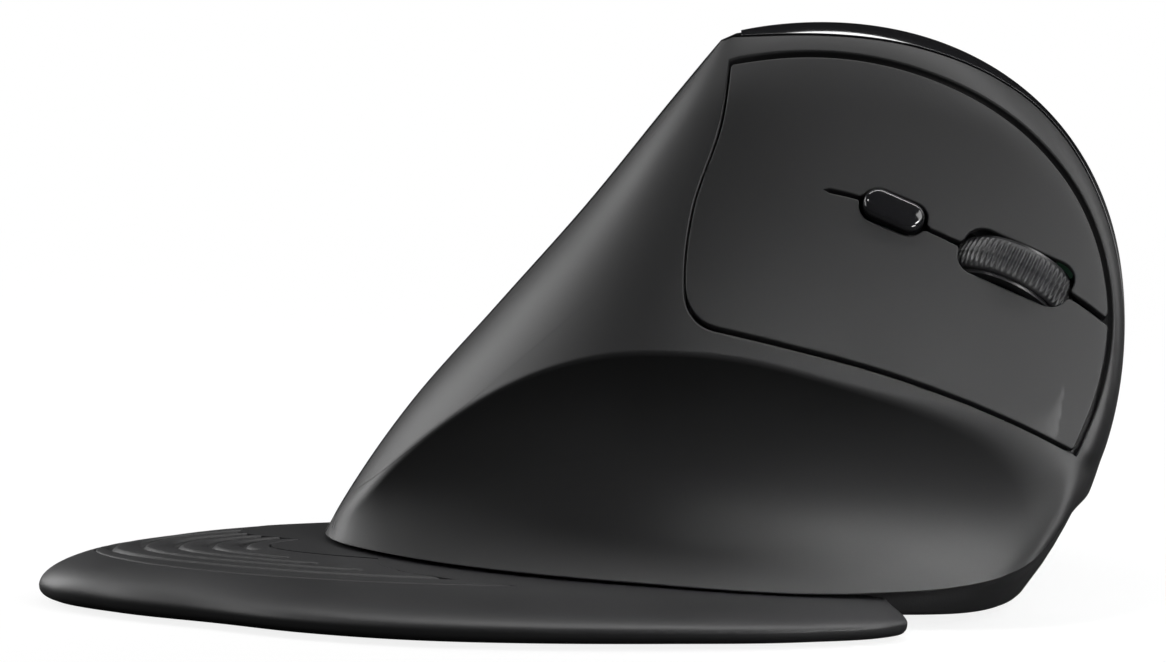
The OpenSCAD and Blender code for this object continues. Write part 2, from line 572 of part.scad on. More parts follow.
// thumb buttons
module forward_button()
    color(gloss_c) skin_cap("forward", [50.5, 58.2], -thumb_rise, wall - 0.4, -thumb_rise + 0.5);
module back_button() color(gloss_c) skin_cap("back", [31.5, 60.8], -thumb_rise, wall - 0.4, -thumb_rise + 0.5);
tact_a = 9.5;
thumb_top = -9.1;
module thumb_board()
    color(board_c) at_thumb(0, 0, thumb_top - 1) block(30, 8, 1);
tact_h = 3;
module tact(a) at_thumb(a, 0, thumb_top) small_switch(5.2, 5.2, tact_h);
module tact_cap(a) at_thumb(a, 0, thumb_top) small_cap(tact_h, -wall - 0.5 - travel - thumb_top);
module forward_switch() color(dark_c) tact(tact_a);
module back_switch() color(dark_c) tact(-tact_a);
module forward_plunger() color(shell_c) tact_cap(tact_a);
module back_plunger() color(shell_c) tact_cap(-tact_a);

// base
floor_z = foot_t;
deck_z = foot_t + floor_t;
main_z = 7;
main_mid = [-3, 24.5];
main_size = [34, 37];
main_pins = [for (x = [-1, 1], y = [-1, 1]) [main_mid[0] + x * 14.4, main_mid[1] + y * 16]];
foot_x = -ridge_lean * 8 - 4.6;
foot_y = [1.5, 47.4];
case_pins = [for (y = foot_y, s = [-9, 9]) [foot_x + s, y]];
slider_at = [8.5, 20];
slider_run = 2.6;
port_x = -2;
port_size = [9, 6.6, 3.2];
port_y = plan_end(set_back, true) - 1.2;
port_z = 4.9;
port_gap = 0.2;
recess = [12.5, 12, 1.2];
foot_pads = [[-3, 53, 24, 5, 0], [-3, -21, 14, 5, 0], [-29, 18, 22, 5, 90]];
// base wall: rings of points round the plan, leaning out with the arc and rising under the skirt in front
base_round = 10;
base_wall = 2.4;
front_back = 0.5;
front_wall = 7.4;
front_rise = 46;
front_top = 15.2;
rise_z = 11;
function wall_end(z, g, front, lo, hi, n = 24) =
    n == 0 ? lo :
    let (y = (lo + hi) / 2, ok = front ? arc_rho(y, z, g) < 1 : y > back_y(plan_z, g))
    wall_end(z, g, front, ok ? y : lo, ok ? hi : y, n - 1);
function wall_y(i, n, z, g, f) =
    let (y0 = wall_end(z, set_back + g, false, 20, -50), y1 = wall_end(z, front_back + f, true, 20, 80))
    (y0 + y1) / 2 - cos(180 * i / n) * (y1 - y0) / 2;
function wall_point(i, n, z, g, f, finger) =
    let (y = wall_y(i, n, z, g, f), nose = sqrt(max(0, 1 - arc_rho(y, z, front_back + f) ^ base_round)))
    let (h = max(z, plan_z), w = finger ? core_f(y, h, set_back + g) : core_t(y, h, set_back + g))
    [skin_x(max(w * nose, 0.02), plan_z, finger ? 1 : -1), y, z];
function wall_top(i, n) =
    let (y = wall_y(i, n, rise_z, 0, 0))
    y < front_rise ? base_top : min(max(skirt_z(y) - skirt_gap, base_top), front_top);
function wall_ring(g, f, z, n = 24) = concat(
    [for (i = [0 : n]) wall_point(i, n, z > 0 ? z : wall_top(i, n), g, f, true)],
    [for (i = [n : -1 : 0]) wall_point(i, n, z > 0 ? z : wall_top(i, n), g, f, false)]);
module base_tub() {
    rings = [wall_ring(0, 0, floor_z), wall_ring(0, 0, deck_z), wall_ring(0, 0, 0),
        wall_ring(base_wall, front_wall, 0), wall_ring(base_wall, front_wall, deck_z)];
    pill_solid(rings, [foot_x, 14, floor_z], [foot_x, 14, deck_z], flip = true);
}
module base_shell()
    color(dark_c)
        difference() {
            union() {
                base_tub();
                translate([port_x, port_y - 3.4, deck_z]) block(14, 7, 6.2);
                for (p = main_pins)
                    translate([p[0], p[1], deck_z]) cylinder(d = 4.6, h = main_z - deck_z);
            }
            translate([port_x, port_y - 11.5, port_z - port_gap])
                block(port_size[0] + 2 * port_gap, 30, port_size[2] + 2 * port_gap);
            translate([port_x, port_y + port_gap + recess[1] / 2, port_z - recess[2]])
                block(recess[0], recess[1], 12);
            for (p = main_pins)
                translate([p[0], p[1], deck_z - 0.6]) cylinder(d = pin_d + 0.1, h = 8);
            for (p = case_pins) {
                translate([p[0], p[1], 0]) cylinder(d = screw_d + 0.4, h = 9);
                translate([p[0], p[1], 0]) cylinder(d = 5.2, h = floor_z + 1);
            }
            translate([main_mid[0], main_mid[1], 0]) cylinder(d = 7, h = 9);
            translate([slider_at[0], slider_at[1] + slider_run / 2, 0]) block(3.4, 3 + slider_run + 0.8, 9);
            for (a = magnet_at)
                let (p = ray(a, plan_reach(a, set_back) - 3.4))
                    translate([p[0], p[1], 0]) cylinder(d = 4.1, h = floor_z + 1.5);
        }
module glide_feet()
    color([0.75, 0.75, 0.75])
        for (f = foot_pads)
            translate([f[0], f[1], 0])
                rotate(f[4]) oblong(f[2], f[3], foot_t);

// upright frame between the two sides
frame_in = 3.5;
frame_t = 2.4;
frame_edge = [
    [-1.5, 6], [4.5, 6], [4.5, 10], [10, 15], [39, 15], [44.4, 10], [44.4, 6], [50.2, 6], [50.2, 12],
    [56, 20], [61, 30], [56, 44], [44.5, 52], [44.5, 61], [37.5, 61], [37.5, 52], [24, 45], [13, 24], [-1.5, 12]];
module upright()
    rotate([0, -atan(ridge_lean), 0])
        translate([-frame_in * cos(atan(ridge_lean)), 0, 0])
            rotate([90, 0, -90])
                linear_extrude(frame_t)
                    polygon([for (p = frame_edge) [-p[0], p[1] / cos(atan(ridge_lean))]]);
module frame_post(p, h) at_wheel(p[0], p[1], board_top - board_t - h) cylinder(d = 4.6, h = h);
post_h = [16.4, 19.6, 7.6];
module inner_frame()
    color(dark_c)
        difference() {
            union() {
                upright();
                for (i = [0 : 2])
                    frame_post(board_pins[i], post_h[i]);
                for (y = foot_y)
                    translate([foot_x, y, deck_z + 2]) block(22, 5, 3.2);
                for (p = case_pins)
                    translate([p[0], p[1], deck_z]) cylinder(d = 6, h = 5.2);
            }
            for (p = case_pins)
                translate([p[0], p[1], deck_z - 1]) cylinder(d = screw_d + 0.1, h = 5.4);
            for (p = board_pins)
                at_wheel(p[0], p[1], board_top - board_t - 5.4) cylinder(d = pin_d + 0.1, h = 6);
        }
module main_board()
    color(board_c)
        difference() {
            translate([main_mid[0], main_mid[1], main_z]) block(main_size[0], main_size[1], 1.6);
            for (p = main_pins)
                translate([p[0], p[1], main_z - 1]) cylinder(d = pin_d + 0.4, h = 4);
        }
module sensor_chip() color(gloss_c) translate([main_mid[0], main_mid[1], main_z - 2]) block(11, 9, 2);
module sensor_lens()
    color([0.8, 0.85, 0.9])
        translate([main_mid[0], main_mid[1], 0]) {
            translate([0, 0, deck_z]) block(16, 12, 1.5);
            translate([0, 0, floor_z + 0.6]) cylinder(d = 6.6, h = floor_t);
        }
module battery_pack()
    color([0.55, 0.57, 0.6]) translate([-3.5, -12.5, deck_z]) block(18, 20, 6);
module charge_port()
    color(metal_c)
        translate([port_x, port_y - port_size[1] / 2, port_z])
            difference() {
                block(port_size[0], port_size[1], port_size[2]);
                translate([0, 0.8, 0.35]) block(port_size[0] - 0.7, port_size[1], 0.9);
                translate([0, 0.8, port_size[2] - 1.25]) block(port_size[0] - 0.7, port_size[1], 0.9);
                for (s = [-1, 1])
                    translate([s * (port_size[0] / 2 - 0.8), 0.8, 0.35])
                        block(0.9, port_size[1], port_size[2] - 0.7);
            }
module power_switch()
    color(dark_c) translate([slider_at[0], slider_at[1] + slider_run / 2, main_z - 2.6]) block(5, 9, 2.6);
module power_slider()
    color(gloss_c)
        translate([slider_at[0], slider_at[1], 0]) {
            translate([0, slider_run / 2 - 1.3, deck_z + 0.15]) block(6, 11, 0.7);
            translate([0, 0, floor_z + 0.4]) block(2.8, 3, floor_t - 0.2);
        }
module screw(d, head, l, h) {
    cylinder(d = d, h = l);
    translate([0, 0, -h]) cylinder(d = head, h = h);
}
module case_screws()
    color(metal_c)
        for (p = case_pins)
            translate([p[0], p[1], floor_z + 1]) screw(screw_d, 4.6, 5, 0.9);
module board_screws()
    color(metal_c) {
        for (p = main_pins)
            translate([p[0], p[1], main_z + 1.6]) rotate([180, 0, 0]) screw(pin_d, 3.4, 5.2, 1.2);
        for (p = board_pins)
            at_wheel(p[0], p[1], board_top) rotate([180, 0, 0]) screw(pin_d, 3.4, 5.2, 1.2);
    }
// flat cable from the main board to the tilted board
cable_w = 7;
cable_t = 0.5;
module ribbon_cable() {
    foot = [main_mid[0] + 6, main_mid[1] - 12, main_z + 1.6];
    tip = wheel_frame[0] - 15 * wheel_frame[1] - 9 * wheel_frame[2]
        + (board_top - board_t - 0.8) * wheel_frame[3];
    bow = [foot, foot + [5, 1, 5], mix(foot, tip, 0.5) + [4, 0, 2], tip + [2, 0, -5], tip];
    path = [for (i = [0 : 16])
        [for (k = [0 : 2]) curve([for (j = [0 : 4]) [j, bow[j][k]]], i / 4)]];
    rings = [for (i = [0 : 16])
        let (d = unit(path[min(i + 1, 16)] - path[max(i - 1, 0)]))
        let (w = unit([0, 1, 0] - d * d[1]), n = cross(d, w))
        [path[i] + w * cable_w / 2 + n * cable_t, path[i] + w * cable_w / 2, path[i] - w * cable_w / 2,
            path[i] - w * cable_w / 2 + n * cable_t]];
    color([0.8, 0.78, 0.7]) strip_solid(rings);
}
module steel_keepers()
    color(metal_c)
        for (a = magnet_at)
            let (p = ray(a, plan_reach(a, set_back) - 3.4))
                translate([p[0], p[1], floor_z + 0.2]) cylinder(d = 4, h = 1.2);

// palm rest: a crescent of rays around the base
function rest_in(a) = plan_reach(a, set_back - rest_gap);
function rest_out(a) = curve(rest_edge, a);
function rest_top(x, y) =
    let (a = atan2(y - rest_mid[1], x - rest_mid[0]), r = norm([x, y] - rest_mid), d = rest_out(a) - r)
    let (p = ray(a, rest_in(a)), h = skirt_z(p[1]) - skirt_gap, t = min(max(d / rest_round, 0), 1))
    nose_z + (h - nose_z) * sqrt(1 - (1 - t) ^ 2);
function rest_section(a) =
    let (e = a > 39.5 ? (a - 39.5) / 3.6 : a < -118 ? (-118 - a) / 4.1 : 0, k = sqrt(max(1 - e * e, 0)))
    let (r0 = rest_in(a), r1 = rest_out(a), m = (r0 + r1) / 2)
    let (q0 = mix(m, r0, k), q1 = mix(m, r1, k), l = q1 - q0)
    let (ds = [for (t = [1, 0.75, 0.5]) l * t], near = min(rest_round, l * 0.5))
    concat(
        [for (d = ds) let (p = ray(a, q1 - d)) [p[0], p[1], rest_top(ray(a, r1 - d * (r1 - r0) / l)[0],
            ray(a, r1 - d * (r1 - r0) / l)[1])]],
        [for (t = [1, 0.7, 0.45, 0.25, 0.1, 0.02]) let (p = ray(a, q1 - near * t), o = ray(a, r1 - near * t))
            [p[0], p[1], rest_top(o[0], o[1])]],
        [for (t = [0, 0.35, 0.7, 1]) let (p = ray(a, q1 - 1.4 * (1 - cos(90 * t)))) [p[0], p[1],
            nose_z - 0.1 - (nose_z - 0.1 - floor_z + 0.1) * sin(90 * t)]],
        [for (t = [0.85, 0.62, 0.4, 0.2, 0]) let (p = ray(a, mix(q0, q1 - 1.4, t))) [p[0], p[1], floor_z - 0.1]]
    );
function pad_angle(s, t) =
    let (k = (pad_out[0] - s[0]) / (pad_out[0] - pad_in[0]))
    mix(mix(pad_ends[0][0], pad_ends[0][1], k), mix(pad_ends[1][0], pad_ends[1][1], k), t);
function pad_point(s, t, drop = 0) =
    let (a = pad_angle(s, t), x = pad_mid[0] + s[0] * cos(a), y = pad_mid[1] + s[1] * sin(a))
    [x, y, rest_top(x, y) - drop];
function pad_edge(s, e, from, to) = [for (i = [0 : 24])
    let (t = mix(from, to, i / 24), a = pad_angle(s, t) + mix(-e, e, t))
    pad_mid + [(s[0] + (s == pad_out ? e : -e)) * cos(a), (s[1] + (s == pad_out ? e : -e)) * sin(a)]];
function pad_plan(e) = concat(pad_edge(pad_out, e, 0, 1), pad_edge(pad_in, e, 1, 0));
magnet_r = 2;
rest_rays = [-121.9, -121, -119.5, each [-117 : 4 : -97], each [-95 : 2.2 : -71], each [-68 : 5.4 : 36],
    39.5, 41.2, 42.4, 43];
function magnet_spot(a) = ray(a, rest_in(a) + 4.2);
module palm_rest_base()
    color(shell_c)
        difference() {
            strip_solid([for (a = rest_rays) rest_section(a)], true);
            translate([0, 0, pad_floor - 0.1]) linear_extrude(9) polygon(pad_plan(0.25));
            for (a = magnet_at)
                let (p = magnet_spot(a))
                    translate([p[0], p[1], 0]) cylinder(r = magnet_r + 0.05, h = 2.6);
        }
module palm_pad() {
    levels = concat([[pad_out, 0]],
        [for (s = grooves, q = [[0.5, 0], [0.25, 1], [-0.25, 1], [-0.5, 0]])
            [s + q[0] * groove_w * [0.6, 1], q[1] * groove_d]],
        [[pad_in, 0]]);
    rings = [for (i = [0 : 18]) let (t = i / 18, e = i == 0 || i == 18 ? 0 : 1)
        concat(
            [for (l = levels) pad_point(l[0], t, e * l[1])],
            [for (j = [len(levels) - 1 : -1 : 0]) let (p = pad_point(levels[j][0], t)) [p[0], p[1], pad_floor]]
        )];
    color([0.07, 0.07, 0.075]) strip_solid(rings);
}
module rest_magnets()
    color(metal_c)
        for (a = magnet_at)
            let (p = magnet_spot(a))
                translate([p[0], p[1], floor_z]) cylinder(r = magnet_r, h = 1.6);
module rest_feet()
    color([0.12, 0.12, 0.12])
        for (f = [[36.5, 18], [33, -26], [8, -62], [-12, -42]])
            translate([f[0], f[1], 0]) cylinder(d = 7, h = floor_z - 0.1);

finger_shell();
thumb_shell();
crown_trim();
base_shell();
inner_frame();
key_web();
left_key();
right_key();
dpi_button();
wheel_tyre();
wheel_hub();
wheel_cradle();
wheel_guide();
wheel_encoder();
button_board();
left_switch();
right_switch();
wheel_switch();
dpi_switch();
left_plunger();
right_plunger();
wheel_plunger();
dpi_plunger();
forward_button();
back_button();
thumb_board();
forward_switch();
back_switch();
forward_plunger();
back_plunger();
main_board();
sensor_chip();
sensor_lens();
battery_pack();
charge_port();
power_switch();
power_slider();
ribbon_cable();
glide_feet();
case_screws();
board_screws();
steel_keepers();
palm_rest_base();
palm_pad();
rest_magnets();
rest_feet();
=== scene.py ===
"""Upright ergonomic mouse with its loose palm rest, dressed for a studio picture."""

import json
import math

import bpy
import numpy as np
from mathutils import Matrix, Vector


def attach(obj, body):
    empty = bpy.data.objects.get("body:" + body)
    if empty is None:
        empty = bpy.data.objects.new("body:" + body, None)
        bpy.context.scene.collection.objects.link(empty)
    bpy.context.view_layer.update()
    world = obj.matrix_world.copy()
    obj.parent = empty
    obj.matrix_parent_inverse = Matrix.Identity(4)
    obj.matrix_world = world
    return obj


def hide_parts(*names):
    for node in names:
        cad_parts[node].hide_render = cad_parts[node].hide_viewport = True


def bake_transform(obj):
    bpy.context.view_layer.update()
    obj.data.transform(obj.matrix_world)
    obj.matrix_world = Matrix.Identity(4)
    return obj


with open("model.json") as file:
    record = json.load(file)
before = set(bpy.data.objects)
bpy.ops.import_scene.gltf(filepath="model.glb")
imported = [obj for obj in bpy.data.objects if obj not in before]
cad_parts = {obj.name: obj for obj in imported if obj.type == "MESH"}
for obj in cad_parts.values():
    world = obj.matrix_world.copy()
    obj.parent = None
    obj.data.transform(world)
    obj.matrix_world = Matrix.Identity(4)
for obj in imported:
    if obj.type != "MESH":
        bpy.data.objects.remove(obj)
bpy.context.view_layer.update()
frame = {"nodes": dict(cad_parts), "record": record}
MM = 0.001

# Body surface, in millimetres: X to the finger side, Y to the front, Z up.
RIDGE_LEAN = 0.184
FINGER_HALF, FINGER_SLOPE, FINGER_BOW = 12, 0.507, 440
THUMB_HALF, THUMB_SLOPE, THUMB_BOW = 11.5, 0.2, 500
THUMB_FLARE, FLARE_Z = 0.035, 34
WIDE_Y, WIDE_Z, BACK_STEP = 35, 60, 1.33
SKIRT_F, SKIRT_T = (25, 0.107), (41.6, 0.02)
SKIRT_FROM, SKIRT_TO, SKIRT_RUN = -18, 40, 76.5
ARC_A, ARC_B, ARC_TILT, ARC_MID = 61.2, 46.3, math.radians(38), (17.8, 23.3)
WALL, LEDGE_THICK, SEAM, NOSE_MID = 2.2, 0.9, 0.1, 30
BACK_LINE = [(5, -36.5), (12, -32.5), (25, -23.3), (38, -11.6), (51, 0.2), (65, 11.8), (73, 18.5)]
BACK_ROUND = [(5, 2), (20, 2.7), (35, 3.6), (50, 4.5), (75, 4.5)]
ARC_ROUND_T = [(0, 13), (20, 20), (40, 24), (70, 15), (76, 15)]
ARC_ROUND_F = [
    (0, 16), (8, 22), (14, 32), (20, 45), (28, 80), (36, 110), (48, 110), (58, 60), (66, 25), (76, 15),
]
SKIRT_LINE = [
    (-36, 7.5), (-18, 6.2), (5, 5.3), (40, 5), (50, 5.9), (57, 7.5), (61, 9.5), (63.6, 12), (65.2, 14.2),
    (66.4, 15.5), (72, 16.2),
]
CREST_F = [
    (-36, 7.8), (-32, 11.4), (-25, 18.8), (-16, 26.2), (-7, 31.4), (2.5, 34.5),
    (12, 35.3), (19, 35), (37, 31.2), (54, 26.2), (65, 21.2), (72, 17.5),
]
CREST_T = [(-36, 7.6), (-28, 14), (-15, 27), (0, 40), (15, 47), (35, 49), (55, 46), (72, 40)]
DEEP_F = [(-35, 0.05), (-10, 0.036), (10, 0.034), (35, 0.032), (60, 0.03)]
DEEP_T = [(-36, 0.05), (-10, 0.04), (20, 0.032), (50, 0.026), (74, 0.02)]
SOFT_F = [(-35, 1.2), (-10, 0.8), (20, 0.8), (44, 1.2), (58, 3), (66, 5), (72, 6)]
SOFT_T = [(-36, 2), (0, 4), (72, 4)]
CREST_EASE, EASE_FROM, EASE_RUN = (1.2, 4.0), 45, 15
CROWN_F = [
    (-54, 0.45), (-46, 0.5), (-38, 0.35), (-28, 0.18), (-10, 0.15), (2, 0.15), (8, 0.22),
    (14, 0.45), (28, 1), (44, 1.1), (52, 0.7), (57, 0.25),
]
CROWN_T = [
    (-54, 0.25), (-48, 0.9), (-40, 1.5), (-25, 2), (0, 2.4), (20, 2.6),
    (44, 2.2), (52, 1.1), (57, 0.25),
]
GAP_SHARE = [(-54, 0.4), (-20, 0.5), (5, 1), (57, 1)]
CROWN_END, CROWN_GAP, CROWN_PAST = (-54, 55.5), 0.14, 2.6
PLATE_MID = (44, 46)
PLATE_ARC = [
    (-50, 0.9), (-44, 0.913), (-30, 0.945), (-15, 0.966), (0, 0.972),
    (16, 0.97), (38, 0.959), (75, 0.942), (135, 0.942),
]
PLATE_LOW = [(14, 39), (25, 36.8), (44, 32.0), (60, 25.9), (67, 22.4)]
PLATE_LEFT = [(36, 14.2), (42, 13.7), (47, 13.8), (53, 14.8), (64, 18.8), (72, 20.1)]
SLIT_LINE = [
    (28, 56.4), (33, 55.7), (38, 54.6), (46.6, 50.9), (58.8, 45.7), (65.8, 42.6), (72, 38.3), (76, 35),
]
KEY_GAP, ROOT_GAP, SLIT_W, SLIT_START, HINGE = 0.5, 0.28, 0.55, 33, (27, 33)
WHEEL_AT, WHEEL_R, WHEEL_RISE = (58.8, 46), 11, 3.5
DPI_AT, DPI_L, DPI_W = (42.2, 53), 8.8, 4.3
THUMB_AT, THUMB_TILT, THUMB_SIZE = (41, 59.5), math.radians(-8), (19.5, 4.4)
BUTTON_GAP, THUMB_RISE = 0.45, 0.9
SKIRT_BACK, SKIRT_FRONT = -35.3, 69.2
REST_MID = (-3, 10)
REST_EDGE = [
    (-120, 42.5), (-113, 48.8), (-105, 57), (-99, 65.6), (-92, 74.6), (-86.5, 82.2), (-82.5, 84.6),
    (-79, 83.5), (-73, 78), (-64, 69), (-53, 62.5), (-41, 56.7), (-22, 49.8), (2, 46.8), (25, 50),
    (37, 52.5), (45, 51.5),
]
REST_GAP, NOSE_Z, REST_ROUND, LIP_Z = 0.9, 1.9, 14, 0.2
REST_TIPS = ((-118, 4.0), (39.5, 3.6))
PAD_MID, PAD_OUT, PAD_IN, PAD_FLOOR = (4, -13), (21.5, 53.3), (8, 29.5), 3.9
PAD_ENDS = ((-148, -120), (4, -30))
GROOVE_HALF, GROOVE_DEEP, DOT_DEEP = (0.75, 0.85), 0.75, 0.4
GROOVE_NEAR = (-2, -21, -33, -46, -72)
GROOVES = [(17.4, 51), (14.5, 46.7), (12.5, 42), (10.8, 37.4), (9.4, 32.9)]


def curve(points, x):
    """Smooth curve through a few points, straight beyond its ends."""
    p = np.asarray(points, float)
    x = np.asarray(x, float)
    xs, ys, h = p[:, 0], p[:, 1], np.diff(p[:, 0])
    rise = np.diff(ys) / h
    slope = np.concatenate([rise[:1], (rise[:-1] * h[1:] + rise[1:] * h[:-1]) / (h[:-1] + h[1:]), rise[-1:]])
    i = np.clip(np.searchsorted(xs, x) - 1, 0, len(xs) - 2)
    t = (x - xs[i]) / h[i]
    s = np.clip(t, 0, 1)
    inner = (2 * s**3 - 3 * s**2 + 1) * ys[i] + (s**3 - 2 * s**2 + s) * h[i] * slope[i]
    inner = inner + (3 * s**2 - 2 * s**3) * ys[i + 1] + (s**3 - s**2) * h[i] * slope[i + 1]
    return inner + np.minimum(t, 0) * h[i] * slope[i] + np.maximum(t - 1, 0) * h[i] * slope[i + 1]


def soft_min(a, b, k):
    h = np.clip(0.5 + 0.5 * (b - a) / k, 0, 1)
    return b + (a - b) * h - k * h * (1 - h)


def smooth(t):
    t = np.clip(t, 0, 1)
    return t * t * (3 - 2 * t)


def skirt_z(y):
    return curve(SKIRT_LINE, y)


def back_y(z, g=0):
    return curve(BACK_LINE, z) + BACK_STEP * g


def arc_uv(y, z):
    a, b = y - ARC_MID[0], z - ARC_MID[1]
    c, s = math.cos(ARC_TILT), math.sin(ARC_TILT)
    return a * c + b * s, b * c - a * s


def arc_rho(y, z, g=0):
    u, v = arc_uv(y, z)
    return np.hypot(u / (ARC_A - g), v / (ARC_B - g))


def arc_turn(y, z):
    u, v = arc_uv(y, z)
    return np.degrees(np.arctan2(v / ARC_B, u / ARC_A))


def arc_point(w, g=0):
    u, v = (ARC_A - g) * np.cos(np.radians(w)), (ARC_B - g) * np.sin(np.radians(w))
    c, s = math.cos(ARC_TILT), math.sin(ARC_TILT)
    return ARC_MID[0] + u * c - v * s, ARC_MID[1] + u * s + v * c


def back_nose(y, z, g):
    t = np.clip((NOSE_MID - y) / (NOSE_MID - back_y(z, g)), 0, 1)
    return np.sqrt(np.maximum(0, 1 - t ** curve(BACK_ROUND, z)))


def arc_nose(y, z, g, square):
    return np.sqrt(np.maximum(0, 1 - arc_rho(y, z, g) ** square))


def pad_f(y, z, g):
    flat = FINGER_HALF + FINGER_SLOPE * (WIDE_Z - z) - (y - WIDE_Y) ** 2 / FINGER_BOW - 1.2 * g
    return np.maximum(flat, 0.5) * back_nose(y, z, g)


def pad_t(y, z, g):
    flat = THUMB_HALF + THUMB_SLOPE * (WIDE_Z - z) - (y - WIDE_Y) ** 2 / THUMB_BOW - 1.05 * g
    flare = THUMB_FLARE * np.maximum(FLARE_Z - z, 0) ** 2
    return (np.maximum(flat, 0.5) + flare) * back_nose(y, z, g)


def skirt_half(y, w, k, g):
    t = np.clip((SKIRT_TO - y) / (SKIRT_RUN - BACK_STEP * g), 0, 1)
    return np.maximum((w + k * (y - SKIRT_FROM) - 1.1 * g) * np.sqrt(1 - t * t), 0.2)


def scoop(y, z, crest, half, skirt, deep):
    """Hollow between the skirt and the crest, eased into the flank above it."""
    zs = skirt_z(y)
    slope, up = (half - skirt) / np.maximum(crest - zs, 1), z - crest
    w = skirt + slope * (z - zs) - deep * (crest - z) * (z - zs)
    ease = CREST_EASE[0] + (CREST_EASE[1] - CREST_EASE[0]) * smooth((y - EASE_FROM) / EASE_RUN)
    return w + np.maximum(half - 0.1 * up - w, 0) * smooth(up / ease)


def half_width(y, z, g, pad, crest, skirt, deep, soft):
    c = curve(crest, y)
    low = scoop(y, z, c, pad(y, c, g), skirt_half(y, *skirt, g), curve(deep, y))
    return np.maximum(soft_min(pad(y, z, g), low, curve(soft, y)), 0)


def core_f(y, z, g):
    return half_width(y, z, g, pad_f, CREST_F, SKIRT_F, DEEP_F, SOFT_F)


def core_t(y, z, g):
    return half_width(y, z, g, pad_t, CREST_T, SKIRT_T, DEEP_T, SOFT_T)


def skin_f(y, z, g=0):
    w = core_f(y, z, g) * arc_nose(y, z, g, curve(ARC_ROUND_F, z))
    return np.stack(np.broadcast_arrays(w + SEAM / 2 - RIDGE_LEAN * z, y, z), -1)


def skin_t(y, z, g=0):
    w = core_t(y, z, g) * arc_nose(y, z, g, curve(ARC_ROUND_T, z))
    return np.stack(np.broadcast_arrays(-w - SEAM / 2 - RIDGE_LEAN * z, y, z), -1)


def crown_in(line, y, z):
    """How far the shells stay inside the arc, to leave room for the glossy strip."""
    w = arc_turn(y, z)
    near = (w > CROWN_END[0] - CROWN_PAST) & (w < CROWN_END[1] + CROWN_PAST)
    return np.where(near, curve(line, w) + CROWN_GAP * curve(GAP_SHARE, w), 0)


def plate_in(y, z, e=0, r=0):
    """Distance inside the outline of the key plate, less its gaps."""
    a = np.degrees(np.arctan2(z - PLATE_MID[1], y - PLATE_MID[0]))
    limit = np.where((a < -52) | (a > 137), 2, curve(PLATE_ARC, a))
    top = (limit - arc_rho(y, z)) * ARC_B - e
    low = (z - curve(PLATE_LOW, y)) * 0.93 - e
    return np.minimum(top, soft_min(low, y - curve(PLATE_LEFT, z) - r, 4))


def body_in(y, z, g, inset):
    return (z > skirt_z(y)) & (y > back_y(z, g)) & (arc_rho(y, z, g + inset) < 1)


def thumb_uv(y, z):
    a, b = y - THUMB_AT[0], z - THUMB_AT[1]
    c, s = math.cos(THUMB_TILT), math.sin(THUMB_TILT)
    return a * c + b * s, b * c - a * s


def thumb_in(y, z, e=0, k=4.5):
    """Distance inside the long opening of the thumb buttons."""
    u, v = thumb_uv(y, z)
    a, b = THUMB_SIZE[0] - e, THUMB_SIZE[1] - e
    size = (np.abs(u / a) ** k + np.abs(v / b) ** k + 1e-9) ** (1 / k)
    steep = np.hypot(np.abs(u / a) ** (k - 1) / a, np.abs(v / b) ** (k - 1) / b) / size ** (k - 1)
    return (1 - size) / np.maximum(steep, 1e-3)


def unit(v):
    return v / np.maximum(np.linalg.norm(v, axis=-1, keepdims=True), 1e-9)


def finger_frame(at):
    """Point, direction along the slit, direction across it and outward direction on the finger side."""
    y, z, d = at[0], at[1], 0.5
    out = unit(np.cross(skin_f(y + d, z) - skin_f(y - d, z), skin_f(y, z + d) - skin_f(y, z - d)))
    along = skin_f(y + 4, curve(SLIT_LINE, y + 4)) - skin_f(y - 4, curve(SLIT_LINE, y - 4))
    across = unit(np.cross(out, along))
    return skin_f(y, z), np.cross(across, out), across, out


WHEEL_FRAME = finger_frame(WHEEL_AT)


def in_wheel_frame(p):
    q = p - WHEEL_FRAME[0]
    return q @ WHEEL_FRAME[1], q @ WHEEL_FRAME[2], q @ WHEEL_FRAME[3]


def from_wheel_frame(a, b, c):
    a, b, c = np.broadcast_arrays(a, b, c)
    parts = zip((a, b, c), WHEEL_FRAME[1:])
    return WHEEL_FRAME[0] + sum(s[..., None] * axis for s, axis in parts)


# Finishes: a socket with arithmetic, a tree of nodes and a material.
class Socket:
    """An output of a shader node; arithmetic on it adds Math nodes."""

    def __init__(self, nodes, out):
        self.nodes, self.out = nodes, out

    def math(self, operation, *values):
        return self.nodes.node("ShaderNodeMath", {"operation": operation}, dict(enumerate(values)))

    def __add__(self, other):
        return self.math("ADD", self, other)

    def __sub__(self, other):
        return self.math("SUBTRACT", self, other)

    def __mul__(self, other):
        return self.math("MULTIPLY", self, other)

    def step(self, low, high):
        """0 below low, 1 above high, smooth between."""
        settings = {"interpolation_type": "SMOOTHSTEP"}
        return self.nodes.node("ShaderNodeMapRange", settings, {0: self, 1: low, 2: high})


class Nodes:
    """A tree of shader nodes; one method adds every node."""

    def __init__(self, tree):
        self.tree = tree

    def node(self, kind, settings, sockets, out=0):
        made = self.tree.nodes.new(kind)
        for key, value in settings.items():
            setattr(made, key, value)
        for key, value in sockets.items():
            self.feed(made.inputs[key], value)
        return Socket(self, made.outputs[out])

    def feed(self, target, value):
        if isinstance(value, Socket):
            self.tree.links.new(value.out, target)
        else:
            target.default_value = value

    def mix(self, factor, first, second):
        """A colour between two colours."""
        return self.node("ShaderNodeMix", {"data_type": "RGBA"}, {0: factor, 6: first, 7: second}, 2)

    def seen(self):
        """1 for what is looked at, straight or through clear pieces; 0 for bounced light."""
        straight = self.node("ShaderNodeLightPath", {}, {}, "Is Camera Ray")
        through = self.node("ShaderNodeLightPath", {}, {}, "Is Transmission Ray")
        return straight.math("MAXIMUM", straight, through)


